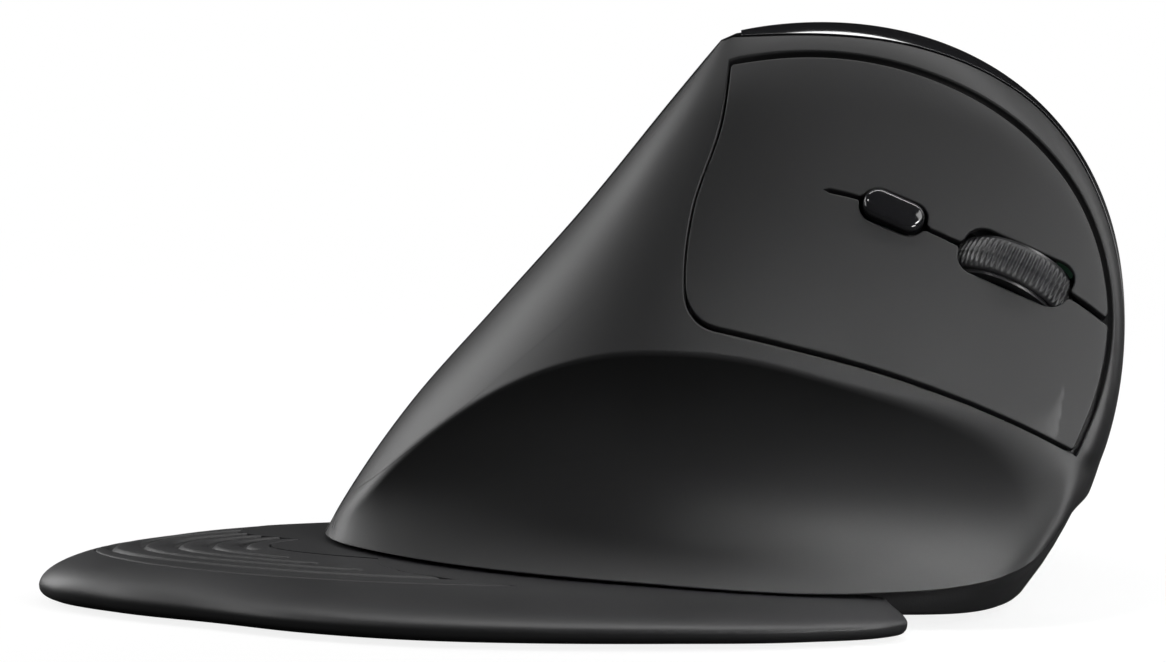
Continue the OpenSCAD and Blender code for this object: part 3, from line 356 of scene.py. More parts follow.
class Finish(Nodes):
    """A material made of nodes around one Principled shader."""

    def __init__(self, name):
        self.material = bpy.data.materials.new(name)
        self.material.use_nodes = True
        super().__init__(self.material.node_tree)
        self.shader = self.tree.nodes["Principled BSDF"]

    def set(self, **values):
        for key, value in values.items():
            self.feed(self.shader.inputs[key.replace("_", " ").title().replace("Ior", "IOR")], value)

    def place(self):
        return self.node("ShaderNodeTexCoord", {}, {}, "Object")

    def stretched(self, scale):
        return self.node("ShaderNodeVectorMath", {"operation": "MULTIPLY"}, {0: self.place(), 1: scale})

    def noise(self, size_mm, detail=2.0, rough=0.5, where=None):
        sockets = {"Vector": where or self.place(), "Scale": 1 / (size_mm * MM)}
        return self.node("ShaderNodeTexNoise", {}, {**sockets, "Detail": detail, "Roughness": rough}, "Fac")

    def cells(self, size_mm, where):
        sockets = {"Vector": where, "Scale": 1 / (size_mm * MM)}
        return self.node("ShaderNodeTexVoronoi", {}, sockets, "Distance")

    def tones(self, factor, dark, light):
        return self.mix(factor, (*dark, 1), (*light, 1))

    def bump(self, height, depth_mm):
        return self.node("ShaderNodeBump", {}, {"Height": height, "Distance": depth_mm * MM})


def shade(colour, factor):
    return tuple(c * factor for c in colour)


def moulded(name, colour, rough, grain_mm, grain_deep, tone=0.1, patch_mm=14, **constants):
    """Moulded plastic or rubber: fine grain, slow drift of tone and of gloss."""
    f = Finish(name)
    grain = f.noise(grain_mm, 3.0, 0.6)
    drift = f.noise(patch_mm, 2.0)
    mix = (drift * 0.7 + grain * 0.3).step(0.3, 0.7)
    f.set(base_color=f.tones(mix, shade(colour, 1 - tone), shade(colour, 1 + tone)))
    f.set(roughness=(drift - 0.5) * 0.12 + (grain - 0.5) * 0.06 + rough)
    f.set(normal=f.bump(grain, grain_deep), **constants)
    return f.material


def board_green():
    f = Finish("board_green")
    where = f.stretched((1.0, 1.0, 0.4))
    tracks = f.cells(2.2, where).step(0.10, 0.16)
    weave = f.noise(0.4, 2.0)
    f.set(base_color=f.tones(tracks * 0.8 + weave * 0.2, (0.035, 0.16, 0.07), (0.012, 0.075, 0.035)))
    f.set(roughness=weave * 0.15 + 0.32, normal=f.bump(tracks, 0.03), coat_weight=0.3)
    return f.material


def brushed(name, colour, rough, along=(0.06, 1.0, 1.0)):
    f = Finish(name)
    lines = f.noise(0.25, 3.0, 0.7, f.stretched(along))
    f.set(base_color=f.tones(lines, shade(colour, 0.82), shade(colour, 1.08)), metallic=1.0)
    f.set(roughness=lines * 0.2 + rough, normal=f.bump(lines, 0.006))
    return f.material


def foil():
    f = Finish("battery_wrap")
    creases = f.noise(3.5, 4.0, 0.65)
    fine = f.noise(0.5, 2.0)
    f.set(base_color=f.tones(creases, (0.30, 0.31, 0.33), (0.46, 0.47, 0.49)), metallic=0.7)
    f.set(roughness=fine * 0.2 + 0.28, normal=f.bump(creases, 0.25))
    return f.material


def ribbon():
    f = Finish("ribbon_film")
    sockets = {"Vector": f.place(), "Scale": 0.16 / MM}
    lanes = f.node("ShaderNodeTexWave", {"bands_direction": "Y"}, sockets, "Fac")
    fine = f.noise(0.6, 2.0)
    f.set(base_color=f.tones(lanes, (0.62, 0.58, 0.46), (0.78, 0.76, 0.68)))
    f.set(roughness=fine * 0.15 + 0.35, normal=f.bump(lanes, 0.05))
    return f.material


def clear_lens():
    f = Finish("clear_lens")
    fine = f.noise(1.2, 2.0)
    f.set(base_color=f.tones(fine, (0.80, 0.83, 0.85), (0.88, 0.90, 0.92)))
    f.set(roughness=fine * 0.06 + 0.04, transmission_weight=0.85, ior=1.49)
    return f.material


SOFT_BLACK = (0.013, 0.013, 0.0135)
FINISHES = {
    "soft_shell": moulded("soft_touch", SOFT_BLACK, 0.47, 0.16, 0.010, 0.08, 22, specular_ior_level=0.42),
    "gloss_black": moulded("gloss_black", (0.010, 0.010, 0.011), 0.09, 2.5, 0.003, 0.1, 30, coat_weight=0.35),
    "base_black": moulded("grained_base", (0.024, 0.024, 0.025), 0.5, 0.3, 0.035),
    "inner_black": moulded("inner_plastic", (0.028, 0.028, 0.030), 0.55, 0.25, 0.02),
    "wheel_rubber": moulded("tyre_rubber", (0.017, 0.017, 0.018), 0.42, 0.2, 0.012),
    "hub_plastic": moulded("hub_plastic", (0.020, 0.020, 0.021), 0.3, 0.4, 0.01),
    "circuit_board": board_green(),
    "switch_case": moulded("switch_case", (0.035, 0.035, 0.038), 0.4, 0.3, 0.02),
    "plunger_red": moulded("plunger_red", (0.42, 0.05, 0.035), 0.38, 0.3, 0.01),
    "lens_clear": clear_lens(),
    "battery_foil": foil(),
    "steel": brushed("screw_steel", (0.60, 0.61, 0.63), 0.24),
    "flat_cable": ribbon(),
    "slick_foot": moulded("slick_foot", (0.50, 0.50, 0.50), 0.35, 0.35, 0.015, 0.06),
    "rest_grey": moulded("rest_plastic", (0.020, 0.020, 0.021), 0.46, 0.2, 0.012, 0.08, 20),
    "pad_rubber": moulded("pad_rubber", (0.018, 0.018, 0.019), 0.52, 0.18, 0.016, 0.08, 16),
    "magnet": brushed("magnet_plate", (0.55, 0.56, 0.60), 0.2, (1.0, 1.0, 0.1)),
    "foot_rubber": moulded("foot_rubber", (0.030, 0.030, 0.030), 0.7, 0.3, 0.04),
}


# Pieces: closed meshes built from rows of points.
def signed_volume(points, faces):
    p, q, r = points[faces[:, 0]], points[faces[:, 1]], points[faces[:, 2]]
    total = np.einsum("ij,ij->", p, np.cross(q, r))
    if faces.shape[1] == 4:
        s = points[faces[:, 3]]
        total += np.einsum("ij,ij->", p, np.cross(r, s))
    return total


def make_piece(name, points, groups, slot, nodes, body=None, normals=None):
    """A closed mesh in the given slot's finish that stands for some nodes; faces come as arrays."""
    if sum(signed_volume(points, f) for f in groups) < 0:
        groups = [f[:, ::-1] for f in groups]
    mesh = bpy.data.meshes.new(name)
    mesh.from_pydata((points * MM).tolist(), [], [row for f in groups for row in f.tolist()])
    mesh.materials.append(FINISHES[slot])
    mesh.polygons.foreach_set("use_smooth", np.ones(len(mesh.polygons), bool))
    mesh.update()
    if normals is not None:
        mesh.normals_split_custom_set_from_vertices(normals.tolist())
    piece = bpy.data.objects.new(name, mesh)
    bpy.context.collection.objects.link(piece)
    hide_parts(*nodes)
    if body:
        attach(piece, body)
    return piece


def prism(ring, low, high):
    """Points and faces of an upright prism over a closed ring."""
    n = len(ring)
    points = np.concatenate([np.column_stack([ring, np.full(n, z)]) for z in (low, high)])
    return points, ring_faces(2, n, close_rows=False).tolist() + [list(range(n))[::-1], list(range(n, 2 * n))]


def disc(x, y, d):
    t = np.linspace(0, 2 * math.pi, 48, endpoint=False)
    return np.stack([x + d / 2 * np.cos(t), y + d / 2 * np.sin(t)], -1)


def box_ring(x, y, w, l):
    corners = ((-1, -1), (1, -1), (1, 1), (-1, 1))
    return np.array([(x + a * w / 2, y + b * l / 2) for a, b in corners])


def cut_out(piece, prisms):
    """Takes prisms out of a piece and keeps the new edges crisp."""
    points, faces = np.zeros((0, 3)), []
    for p, f in prisms:
        faces += [[i + len(points) for i in row] for row in f]
        points = np.concatenate([points, p])
    mesh = bpy.data.meshes.new("cutter")
    mesh.from_pydata((points * MM).tolist(), [], faces)
    tool = bpy.data.objects.new("cutter", mesh)
    bpy.context.collection.objects.link(tool)
    cut = piece.modifiers.new("cut", "BOOLEAN")
    cut.operation, cut.object, cut.solver = "DIFFERENCE", tool, "EXACT"
    made = bpy.data.meshes.new_from_object(piece.evaluated_get(bpy.context.evaluated_depsgraph_get()))
    piece.modifiers.clear()
    piece.data = made
    made.set_sharp_from_angle(angle=math.radians(40))
    bpy.data.objects.remove(tool)


def ring_faces(rows, columns, close_rows=True):
    """Quads between neighbouring closed rings of points."""
    j, i = np.meshgrid(np.arange(rows if close_rows else rows - 1), np.arange(columns), indexing="ij")
    k, l = (i + 1) % columns, (j + 1) % rows
    return np.stack([j * columns + i, j * columns + k, l * columns + k, l * columns + i], -1).reshape(-1, 4)


def tube(grid, mids=None):
    """Points and faces of a tube of rings, closed by a fan of triangles at each end."""
    rows, n = grid.shape[:2]
    if mids is None:
        mids = [grid[0].mean(0), grid[-1].mean(0)]
    i = np.arange(n)
    k, last = (i + 1) % n, (rows - 1) * n
    first_fan = np.stack([np.full(n, rows * n), k, i], -1)
    last_fan = np.stack([np.full(n, rows * n + 1), last + i, last + k], -1)
    points = np.concatenate([grid.reshape(-1, 3), mids])
    return points, [ring_faces(rows, n, close_rows=False), np.concatenate([first_fan, last_fan])]


def grid_normals(p):
    """Unit normals of a grid of points, rows by columns."""
    return unit(np.cross(np.gradient(p, axis=0), np.gradient(p, axis=1)))


def reach(test, mid, angle, high=120.0):
    """How far a test holds along rays from a point."""
    low, high = np.zeros_like(angle), np.full_like(angle, high)
    for _ in range(34):
        r = (low + high) / 2
        ok = test(mid[0] + r * np.cos(angle), mid[1] + r * np.sin(angle))
        low, high = np.where(ok, r, low), np.where(ok, high, r)
    return low


def runs(*spans):
    """Evenly spaced numbers, several spans one after another; each span has a start, an end and a count."""
    return np.concatenate([np.linspace(*span) for span in spans])


def outline_rays(mid):
    """Directions from a point to the skirt, the arc and the back slope, in turn."""
    ys = runs((SKIRT_BACK, -27, 60), (-26.4, 55, 100), (55.5, SKIRT_FRONT, 60))
    zs = np.concatenate([[73.4, 73.2, 72.8, 72.2], runs((71.4, 28, 70), (27.7, 9, 90))])
    arc = arc_point(runs((-53.4, -46, 60), (-45.5, 50, 170), (50.4, 56.8, 24)))
    y = np.concatenate([ys, arc[0], back_y(zs)])
    z = np.concatenate([skirt_z(ys), arc[1], zs])
    angle = np.arctan2(z - mid[1], y - mid[0])
    return np.where(angle < angle[0], angle + 2 * math.pi, angle)


def skin_normal(skin, y, z, d=0.03):
    """Outward unit normal of the finger or thumb skin."""
    side = 1 if skin is skin_f else -1
    return side * unit(np.cross(skin(y + d, z) - skin(y - d, z), skin(y, z + d) - skin(y, z - d)))


def shell_piece(name, node, skin, hole, crest, inset_line, mid, lip, ledge):
    """A shell: from its opening over the crest to the outline, back inside, to a ledge under the opening."""
    angle = outline_rays(mid)
    edge = 0.12

    def on_rays(r):
        return mid[0] + np.array(r) * np.cos(angle), mid[1] + np.array(r) * np.sin(angle)

    def spread(g):
        far = reach(lambda y, z: body_in(y, z, g, crown_in(inset_line, y, z)), mid, angle)
        near = np.minimum(reach(hole, mid, angle), far - 0.8)
        top = reach(lambda y, z: z > curve(crest, y), mid, angle) if crest else near + 0.3 * (far - near)
        return near, np.clip(top, near + 0.12 * (far - near), near + 0.95 * (far - near)), far

    near, top, far = spread(0)
    phi = np.linspace(0, math.pi / 2, 6)
    rows = [(near + lip * (1 - math.cos(t)), lip * (1 - math.sin(t)), t - math.pi / 2) for t in phi]
    rows += [(near + lip + (top - near - lip) * (1 - (1 - s) ** 2), 0, 0) for s in np.linspace(0, 1, 32)[1:]]
    rows += [(top + (far - edge - top) * smooth(s), 0, 0) for s in np.linspace(0, 1, 72)[1:]]
    rows += [(far - edge + edge * math.sin(t), edge * (1 - math.cos(t)), t) for t in phi[1:]]
    drop = np.array([row[1] for row in rows])[:, None, None]
    tilt = np.array([row[2] for row in rows])[:, None, None]
    y, z = on_rays([row[0] for row in rows])
    outer = skin(y, z)
    out = skin_normal(skin, y, z)
    normal = unit(out * np.cos(tilt) + unit(np.gradient(outer, axis=0)) * np.sin(tilt))
    outer = outer - out * drop
    near, top, far = spread(WALL)
    r = [top + (far - top) * t for t in (1, 0.85, 0.6, 0.35, 0.15, 0)]
    r += [near + (top - near) * t for t in (0.6, 0.3)]
    y, z = on_rays(r)
    inner = skin(y, z, WALL)
    inward = -skin_normal(skin, y, z)
    y, z = on_rays([near + 0.3, near - ledge, near - ledge, near])
    down = -skin_normal(skin, y, z)
    depth = np.array([WALL + LEDGE_THICK, WALL + LEDGE_THICK, WALL, WALL])[:, None, None]
    grid = np.concatenate([outer, inner, skin(y, z) + down * depth])
    down[-2:] *= -1
    normal = np.concatenate([normal, inward, down]).reshape(-1, 3)
    make_piece(name, grid.reshape(-1, 3), [ring_faces(*grid.shape[:2])], "soft_shell", [node], "body", normal)


shell_piece(
    "finger_side", "finger_shell", skin_f, lambda y, z: plate_in(y, z) > 0,
    CREST_F, CROWN_F, (25, 62), lip=0.28, ledge=1.8)
shell_piece(
    "thumb_side", "thumb_shell", skin_t, lambda y, z: thumb_in(y, z) > 0,
    None, CROWN_T, THUMB_AT, lip=0.5, ledge=0.8)


def crown_piece():
    """Glossy strip over the ridge."""
    w = np.linspace(CROWN_END[0], CROWN_END[1], 300)[:, None]
    across = np.concatenate([[1.0, 0.997, 0.99, 0.98], np.linspace(0.96, 0.02, 24)])
    sides = []
    for line, skin, ts in ((CROWN_F, skin_f, across), (CROWN_T, skin_t, across[::-1])):
        y, z = arc_point(w, curve(line, w) * ts[None, :] ** 2)
        sides.append(skin(y, z))
    top = np.concatenate(sides, 1)
    normal = grid_normals(top)
    normal = normal * np.sign(normal[len(w) // 2, len(across), 2])
    drop = np.zeros(top.shape[1])
    drop[[0, 1, 2]] = drop[[-1, -2, -3]] = (0.2, 0.1, 0.03)
    top = top - normal * drop[None, :, None]
    under = (top - normal * 1.1)[:, ::-4]
    points, faces = tube(np.concatenate([top, under], 1))
    make_piece("crown_strip", points, faces, "gloss_black", ["crown_trim"], "body")


crown_piece()


def region_points(level, box, step):
    """Grid points where level is positive, then the points where grid lines leave that region.

    Gives both coordinates of every point, and for each cell the numbers of its corners and sides, or -1.
    """
    us, vs = np.arange(box[0], box[1], step), np.arange(box[2], box[3], step)
    u, v = np.meshgrid(us, vs, indexing="ij")
    inside = level(u, v) > 0
    count = inside.sum()
    number = np.full(u.shape, -1)
    number[inside] = np.arange(count)
    pu, pv, cross = [u[inside]], [v[inside]], []
    n, m = u.shape
    for di, dj in ((1, 0), (0, 1)):
        a, b = inside[: n - di, : m - dj], inside[di:, dj:]
        mixed = a != b
        ids = np.full(a.shape, -1)
        ids[mixed] = count + np.arange(mixed.sum())
        count += mixed.sum()
        ua, va = u[: n - di, : m - dj][mixed], v[: n - di, : m - dj][mixed]
        low, high = np.zeros(len(ua)), np.ones(len(ua))
        for _ in range(14):
            t = (low + high) / 2
            ok = (level(ua + t * di * step, va + t * dj * step) > 0) == a[mixed]
            low, high = np.where(ok, t, low), np.where(ok, high, t)
        pu.append(ua + low * di * step)
        pv.append(va + low * dj * step)
        cross.append(ids)
    corners = [number[:-1, :-1], number[1:, :-1], number[1:, 1:], number[:-1, 1:]]
    sides = [cross[0][:, :-1], cross[1][1:, :], cross[0][:, 1:], cross[1][:-1, :]]
    return np.concatenate(pu), np.concatenate(pv), corners, sides


def region_faces(corners, sides):
    """Quads of the whole cells, triangles of the cut ones, and the rim as pairs of points."""
    full = np.logical_and.reduce([k >= 0 for k in corners])
    quads = np.stack([k[full] for k in corners], -1)
    some = np.logical_or.reduce([k >= 0 for k in corners]) & ~full
    triangles, rims = [], []
    for i, j in np.argwhere(some):
        corner, edge = [k[i, j] for k in corners], [k[i, j] for k in sides]
        ring, leave = [], None
        for k in range(4):
            if corner[k] >= 0:
                ring.append(corner[k])
            if edge[k] >= 0:
                ring.append(edge[k])
                if corner[k] >= 0:
                    rims.append([edge[k], None])
                    leave = len(rims) - 1
                elif leave is not None:
                    rims[leave][1] = edge[k]
                    leave = None
                else:
                    pending = edge[k]
        if leave is not None:
            rims[leave][1] = pending
        triangles += [(ring[0], ring[k], ring[k + 1]) for k in range(1, len(ring) - 1)]
    return quads, np.array(triangles), np.array(rims)


def sheet_mesh(depth, box, step, place, rim, thick, side=1):
    """Closed plate over the region where depth is positive: rounded rim, straight wall, plain underside."""
    d = 0.04

    def level(a, b):
        return depth(a, b) - rim(a, b)

    def normal_at(a, b):
        return side * unit(np.cross(place(a + d, b) - place(a - d, b), place(a, b + d) - place(a, b - d)))

    pu, pv, corners, sides = region_points(level, box, step)
    quads, triangles, rims = region_faces(corners, sides)
    on_rim = np.unique(rims)
    u, v = pu[on_rim], pv[on_rim]
    size = rim(u, v)
    away = -unit(np.stack([level(u + d, v) - level(u - d, v), level(u, v + d) - level(u, v - d)], -1))
    top, top_normal = place(pu, pv), normal_at(pu, pv)
    edge, edge_normal = top[on_rim], top_normal[on_rim]
    outward = place(u + away[:, 0] * d, v + away[:, 1] * d) - edge
    tilt = unit(np.cross(edge_normal, np.cross(outward, edge_normal)))
    points, normals, loops, total = [top], [top_normal], [on_rim], len(pu)
    for phi in np.radians([22, 45, 68, 90]):
        off = size * math.sin(phi)
        a, b = u + away[:, 0] * off, v + away[:, 1] * off
        points.append(place(a, b) - normal_at(a, b) * (size * (1 - math.cos(phi)))[:, None])
        lean_by = (phi * np.clip(size / 0.1, 0, 1))[:, None]
        normals.append(unit(edge_normal * np.cos(lean_by) + tilt * np.sin(lean_by)))
    points.append(points[-1] - edge_normal * (thick(u, v) - 0.2 - size)[:, None])
    normals.append(normals[-1])
    for _ in points[1:]:
        loops.append(total + np.arange(len(on_rim)))
        total += len(on_rim)
    points.append(top - top_normal * thick(pu, pv)[:, None])
    normals.append(-top_normal)
    loops.append(total + on_rim)
    groups = [quads, quads[:, ::-1] + total, triangles, triangles[:, ::-1] + total]
    k0, k1 = np.searchsorted(on_rim, rims[:, 0]), np.searchsorted(on_rim, rims[:, 1])
    for upper, lower in zip(loops[:-1], loops[1:]):
        groups.append(np.stack([upper[k1], upper[k0], lower[k0], lower[k1]], -1))
    return np.concatenate(points), groups, np.concatenate(normals)


def rounded_box(a, b, half_a, half_b, r):
    """Distance outside a rectangle with round corners."""
    qa, qb = np.abs(a) - half_a + r, np.abs(b) - half_b + r
    return np.hypot(np.maximum(qa, 0), np.maximum(qb, 0)) + np.minimum(np.maximum(qa, qb), 0) - r


SLOT_HALF, SLOT_ROUND = (8.05, 3.6), 2.7
KEY_THIN, KEY_THICK, KEY_RIM = 0.8, 1.5, 0.24
DPI_A, DPI_B, DPI_C = in_wheel_frame(skin_f(*DPI_AT))


def slit_half(y):
    wide = SLIT_W * (1 + 0.75 * smooth((y - 44) / 18))
    return 0.002 + (wide / 2 - 0.002) * smooth((y - SLIT_START + 0.6) / 1.2)


def key_depth(y, z, side):
    """Distance inside one half of the key plate, clear of the slit, the wheel slot and the button pocket."""
    slit = (z - curve(SLIT_LINE, y)) * side * 1.05 - slit_half(y)
    a, b, _ = in_wheel_frame(skin_f(y, z))
    slot = rounded_box(a, b, *SLOT_HALF, SLOT_ROUND)
    half_l, half_w = DPI_L / 2 + BUTTON_GAP, DPI_W / 2 + BUTTON_GAP
    pocket = rounded_box(a - DPI_A, b - DPI_B, half_l, half_w, half_w)
    return np.minimum(np.minimum(plate_in(y, z, KEY_GAP, ROOT_GAP), slit), np.minimum(slot, pocket))


def key_thick(y, z):
    """Thinner beside the wheel, so that a pressed key clears the tyre."""
    a, b, _ = in_wheel_frame(skin_f(y, z))
    return KEY_THIN + (KEY_THICK - KEY_THIN) * smooth(rounded_box(a, b, *SLOT_HALF, SLOT_ROUND) / 2.5)


def key_rim(y, z):
    """Rounding of a key's edge, next to none where both keys grow from the root."""
    near_slit = smooth((1.2 - np.abs(z - curve(SLIT_LINE, y))) / 0.6)
    at_root = smooth((SLIT_START - y + 0.6) / 1.2) * smooth((y - 15.2) / 1.0)
    return KEY_RIM - (KEY_RIM - 0.003) * near_slit * at_root


def key_piece(name, side, nodes):
    points, groups, normals = sheet_mesh(
        lambda y, z: key_depth(y, z, side), (12.5, 75, 21, 74.5), 0.4, skin_f, key_rim, key_thick)
    piece = make_piece(name, points, groups, "soft_shell", nodes, normals=normals)
    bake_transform(piece)


key_piece("upper_key", 1, ["left_key", "key_web"])
key_piece("lower_key", -1, ["right_key"])


def even(size):
    return lambda y, z: np.full_like(y, size)


def thumb_button(name, body, side):
    """One of the two glossy thumb buttons."""
    def depth(y, z):
        return np.minimum(thumb_in(y, z, BUTTON_GAP, 3.2), side * thumb_uv(y, z)[0] - BUTTON_GAP / 2)

    def place(y, z):
        p = skin_t(y, z)
        raised = smooth(np.clip(depth(y, z), 0, 3) / 3) * 0.35 + THUMB_RISE - 0.35
        return p + raised[..., None] * np.array([-1, 0.03, 0.03])

    box = (20, 62.5, 52, 67)
    points, groups, normals = sheet_mesh(depth, box, 0.3, place, even(0.55), even(2.2), -1)
    make_piece(name, points, groups, "gloss_black", [body], body, normals)


thumb_button("forward_cap", "forward_button", 1)
thumb_button("back_cap", "back_button", -1)


def dpi_piece():
    """Oblong top button with a flat facet."""
    t = np.linspace(0, 2 * math.pi, 96, endpoint=False)
    bends = np.linspace(0.15, math.pi / 2 - 0.1, 8)
    profile = [(0.25, -3.6), (0, -3.4), (0, 0.1), (0, 0.45)]
    profile += [(0.9 - 0.9 * math.cos(p), 0.45 + 0.75 * math.sin(p)) for p in bends]
    profile += [(1.1, 1.24), (1.5, 1.27), (1.9, 1.29)]
    straight = (DPI_L - DPI_W) / 2
    rows = []
    for inset, c in profile:
        r = DPI_W / 2 - inset
        a = DPI_A + np.sign(np.cos(t)) * straight + r * np.cos(t)
        rows.append(from_wheel_frame(a, DPI_B + r * np.sin(t), DPI_C + c))
    points, faces = tube(np.array(rows))
    make_piece("dpi_cap", points, faces, "gloss_black", ["dpi_button"], "dpi_button")


dpi_piece()

WHEEL_RIBS, TREAD_R, TREAD_HALF = 72, 9.9, 2.6


def tyre_piece():
    """Rubber tyre: crowned tread with cross ribs, round shoulders, smooth flanks."""
    turn = np.linspace(0, 2 * math.pi, WHEEL_RIBS * 12, endpoint=False)
    ridge = (0.5 + 0.5 * np.cos(turn * WHEEL_RIBS)) ** 1.6
    inner, round_by, fall, crowning, rib_deep = 8.6, 2.2, 1.05, 0.12, 0.5
    flat, flank, bore = TREAD_HALF - round_by, TREAD_HALF - 0.1, TREAD_HALF - 0.3
    tread = [(b * flat, TREAD_R - crowning * b * b, 1.0) for b in np.linspace(-1, 1, 23)]
    shoulder = []
    for p in np.linspace(0, math.pi / 2, 11)[1:]:
        r = TREAD_R - crowning - fall * (1 - math.cos(p))
        shoulder.append((flat + round_by * math.sin(p), r, 1 - smooth(p / 1.3)))
    profile = [(-b, r, k) for b, r, k in shoulder[::-1]] + tread + shoulder
    profile += [(flank, inner + 0.1, 0), (bore, inner, 0), (-bore, inner, 0), (-flank, inner + 0.1, 0)]
    b, r, k = np.array(profile).T
    radius = r[:, None] - rib_deep * np.clip(k, 0, 1)[:, None] * (1 - ridge)[None, :]
    a, c = radius * np.cos(turn), radius * np.sin(turn) + WHEEL_RISE - WHEEL_R
    grid = from_wheel_frame(a, np.broadcast_to(b[:, None], a.shape), c)
    faces = [ring_faces(*grid.shape[:2])]
    make_piece("ribbed_tyre", grid.reshape(-1, 3), faces, "wheel_rubber", ["wheel_tyre"], "wheel")


tyre_piece()


# Base: a tub that leans out with the arc and rises under the skirt in front.
PLAN_Z, SET_BACK, SKIRT_GAP, FLOOR_Z = 6, 3.5, 0.5, 0.9
BASE_TOP, DECK_Z, BASE_WALL, BASE_ROUND = 4.6, 2.9, 2.4, 10
FRONT_BACK, FRONT_WALL, FRONT_RISE, FRONT_TOP, RISE_Z = 0.25, 7.4, 46, 15.4, 13.5
PORT_X, PORT_Y, PORT_Z, PORT_SIZE, RECESS = -2, 58.53, 4.9, (9, 3.2), (12.5, 12, 1.2)
PORT_GAP, SCREW_HEAD, SCREW_D, EYE_D, SLIDER_SIZE = 0.2, 5.2, 2.6, 7, (3.4, 6.4)
SCREWS = [(x, y) for x in (-15.07, 2.93) for y in (1.5, 47.4)]
EYE_AT, SLIDER_AT = (-3, 24.5), (8.5, 21.3)


def front_y(z, f):
    """Where the arc, drawn in by f, stands at each height."""
    low, high = np.full_like(z, 20.0), np.full_like(z, 80.0)
    for _ in range(30):
        y = (low + high) / 2
        ok = arc_rho(y, z, FRONT_BACK + f) < 1
        low, high = np.where(ok, y, low), np.where(ok, high, y)
    return low


def wall_y(z, g, f):
    y0, y1 = back_y(PLAN_Z, SET_BACK + g), front_y(z, f)
    return (y0 + y1) / 2 - np.cos(np.linspace(0, math.pi, len(z))) * (y1 - y0) / 2


def wall_ring(g, f, z):
    """Closed ring of points round the base; z gives the height from the back to the front."""
    y, h = wall_y(z, g, f), np.maximum(z, PLAN_Z)
    nose = arc_nose(y, z, FRONT_BACK + f, BASE_ROUND)
    sides = [core(y, h, SET_BACK + g) * nose + SEAM / 2 for core in (core_f, core_t)]
    x = np.concatenate([sides[0], -sides[1][::-1]]) - RIDGE_LEAN * PLAN_Z
    return np.stack([x, np.concatenate([y, y[::-1]]), np.concatenate([z, z[::-1]])], -1)


def base_piece():
    """Tub with a rounded foot, raised in front; screw holes, eye, slider and port are cut out."""
    flat = np.ones(110)
    y = wall_y(RISE_Z * flat, 0, 0)
    top = np.where(y < FRONT_RISE, BASE_TOP, np.clip(skirt_z(y) - SKIRT_GAP, BASE_TOP, FRONT_TOP))
    rings = [wall_ring(g, g, (FLOOR_Z + d) * flat) for g, d in ((0.7, 0), (0.35, 0.1), (0.1, 0.35), (0, 0.7))]
    rings += [wall_ring(0, 0, DECK_Z + (top - DECK_Z) * t - 0.3 * t) for t in (0.2, 0.4, 0.6, 0.8, 1)]
    rings += [wall_ring(0.1, 0.1, top - 0.08), wall_ring(0.35, 0.35, top)]
    rings += [wall_ring(BASE_WALL - 0.2, FRONT_WALL - 0.2, top), wall_ring(BASE_WALL, FRONT_WALL, top - 0.3)]
    rings += [wall_ring(BASE_WALL, FRONT_WALL, DECK_Z * flat)]
    points, faces = tube(np.array(rings), [(-6, 14, FLOOR_Z), (-6, 14, DECK_Z)])
    piece = make_piece("base_tub", points, faces, "base_black", ["base_shell"], "body")
    cuts = [prism(disc(x, y, SCREW_HEAD), -1, FLOOR_Z + 1) for x, y in SCREWS]
    cuts += [prism(disc(x, y, SCREW_D), FLOOR_Z + 0.9, 9) for x, y in SCREWS]
    cuts += [prism(disc(*EYE_AT, EYE_D), -1, 9), prism(box_ring(*SLIDER_AT, *SLIDER_SIZE), -1, 9)]
    port = box_ring(PORT_X, PORT_Y - 11.5, PORT_SIZE[0] + 2 * PORT_GAP, 30)
    cuts += [prism(port, PORT_Z - PORT_GAP, PORT_Z + PORT_SIZE[1] + PORT_GAP)]
    recess = box_ring(PORT_X, PORT_Y + 0.2 + RECESS[1] / 2, *RECESS[:2])
    cuts += [prism(recess, PORT_Z - RECESS[2], 20)]
    cut_out(piece, cuts)


base_piece()


# Palm rest.
def plan_has(x, y, g):
    ends = (y > back_y(PLAN_Z, g)) & (arc_rho(y, PLAN_Z, g) < 1)
    return ends & (x < skin_f(y, PLAN_Z, g)[..., 0]) & (x > skin_t(y, PLAN_Z, g)[..., 0])


rest_angles = np.radians(np.linspace(-124, 50, 700))
rest_reach = reach(lambda x, y: plan_has(x, y, SET_BACK - REST_GAP), REST_MID, rest_angles, 90.0)


def rest_in(a):
    return np.interp(np.radians(a), rest_angles, rest_reach)


def rest_top(x, y):
    a = np.degrees(np.arctan2(y - REST_MID[1], x - REST_MID[0]))
    d = curve(REST_EDGE, a) - np.hypot(x - REST_MID[0], y - REST_MID[1])
    h = skirt_z(REST_MID[1] + rest_in(a) * np.sin(np.radians(a))) - SKIRT_GAP
    t = np.clip(d / REST_ROUND, 0, 1)
    return NOSE_Z + (h - NOSE_Z) * np.sqrt(1 - (1 - t) ** 2)


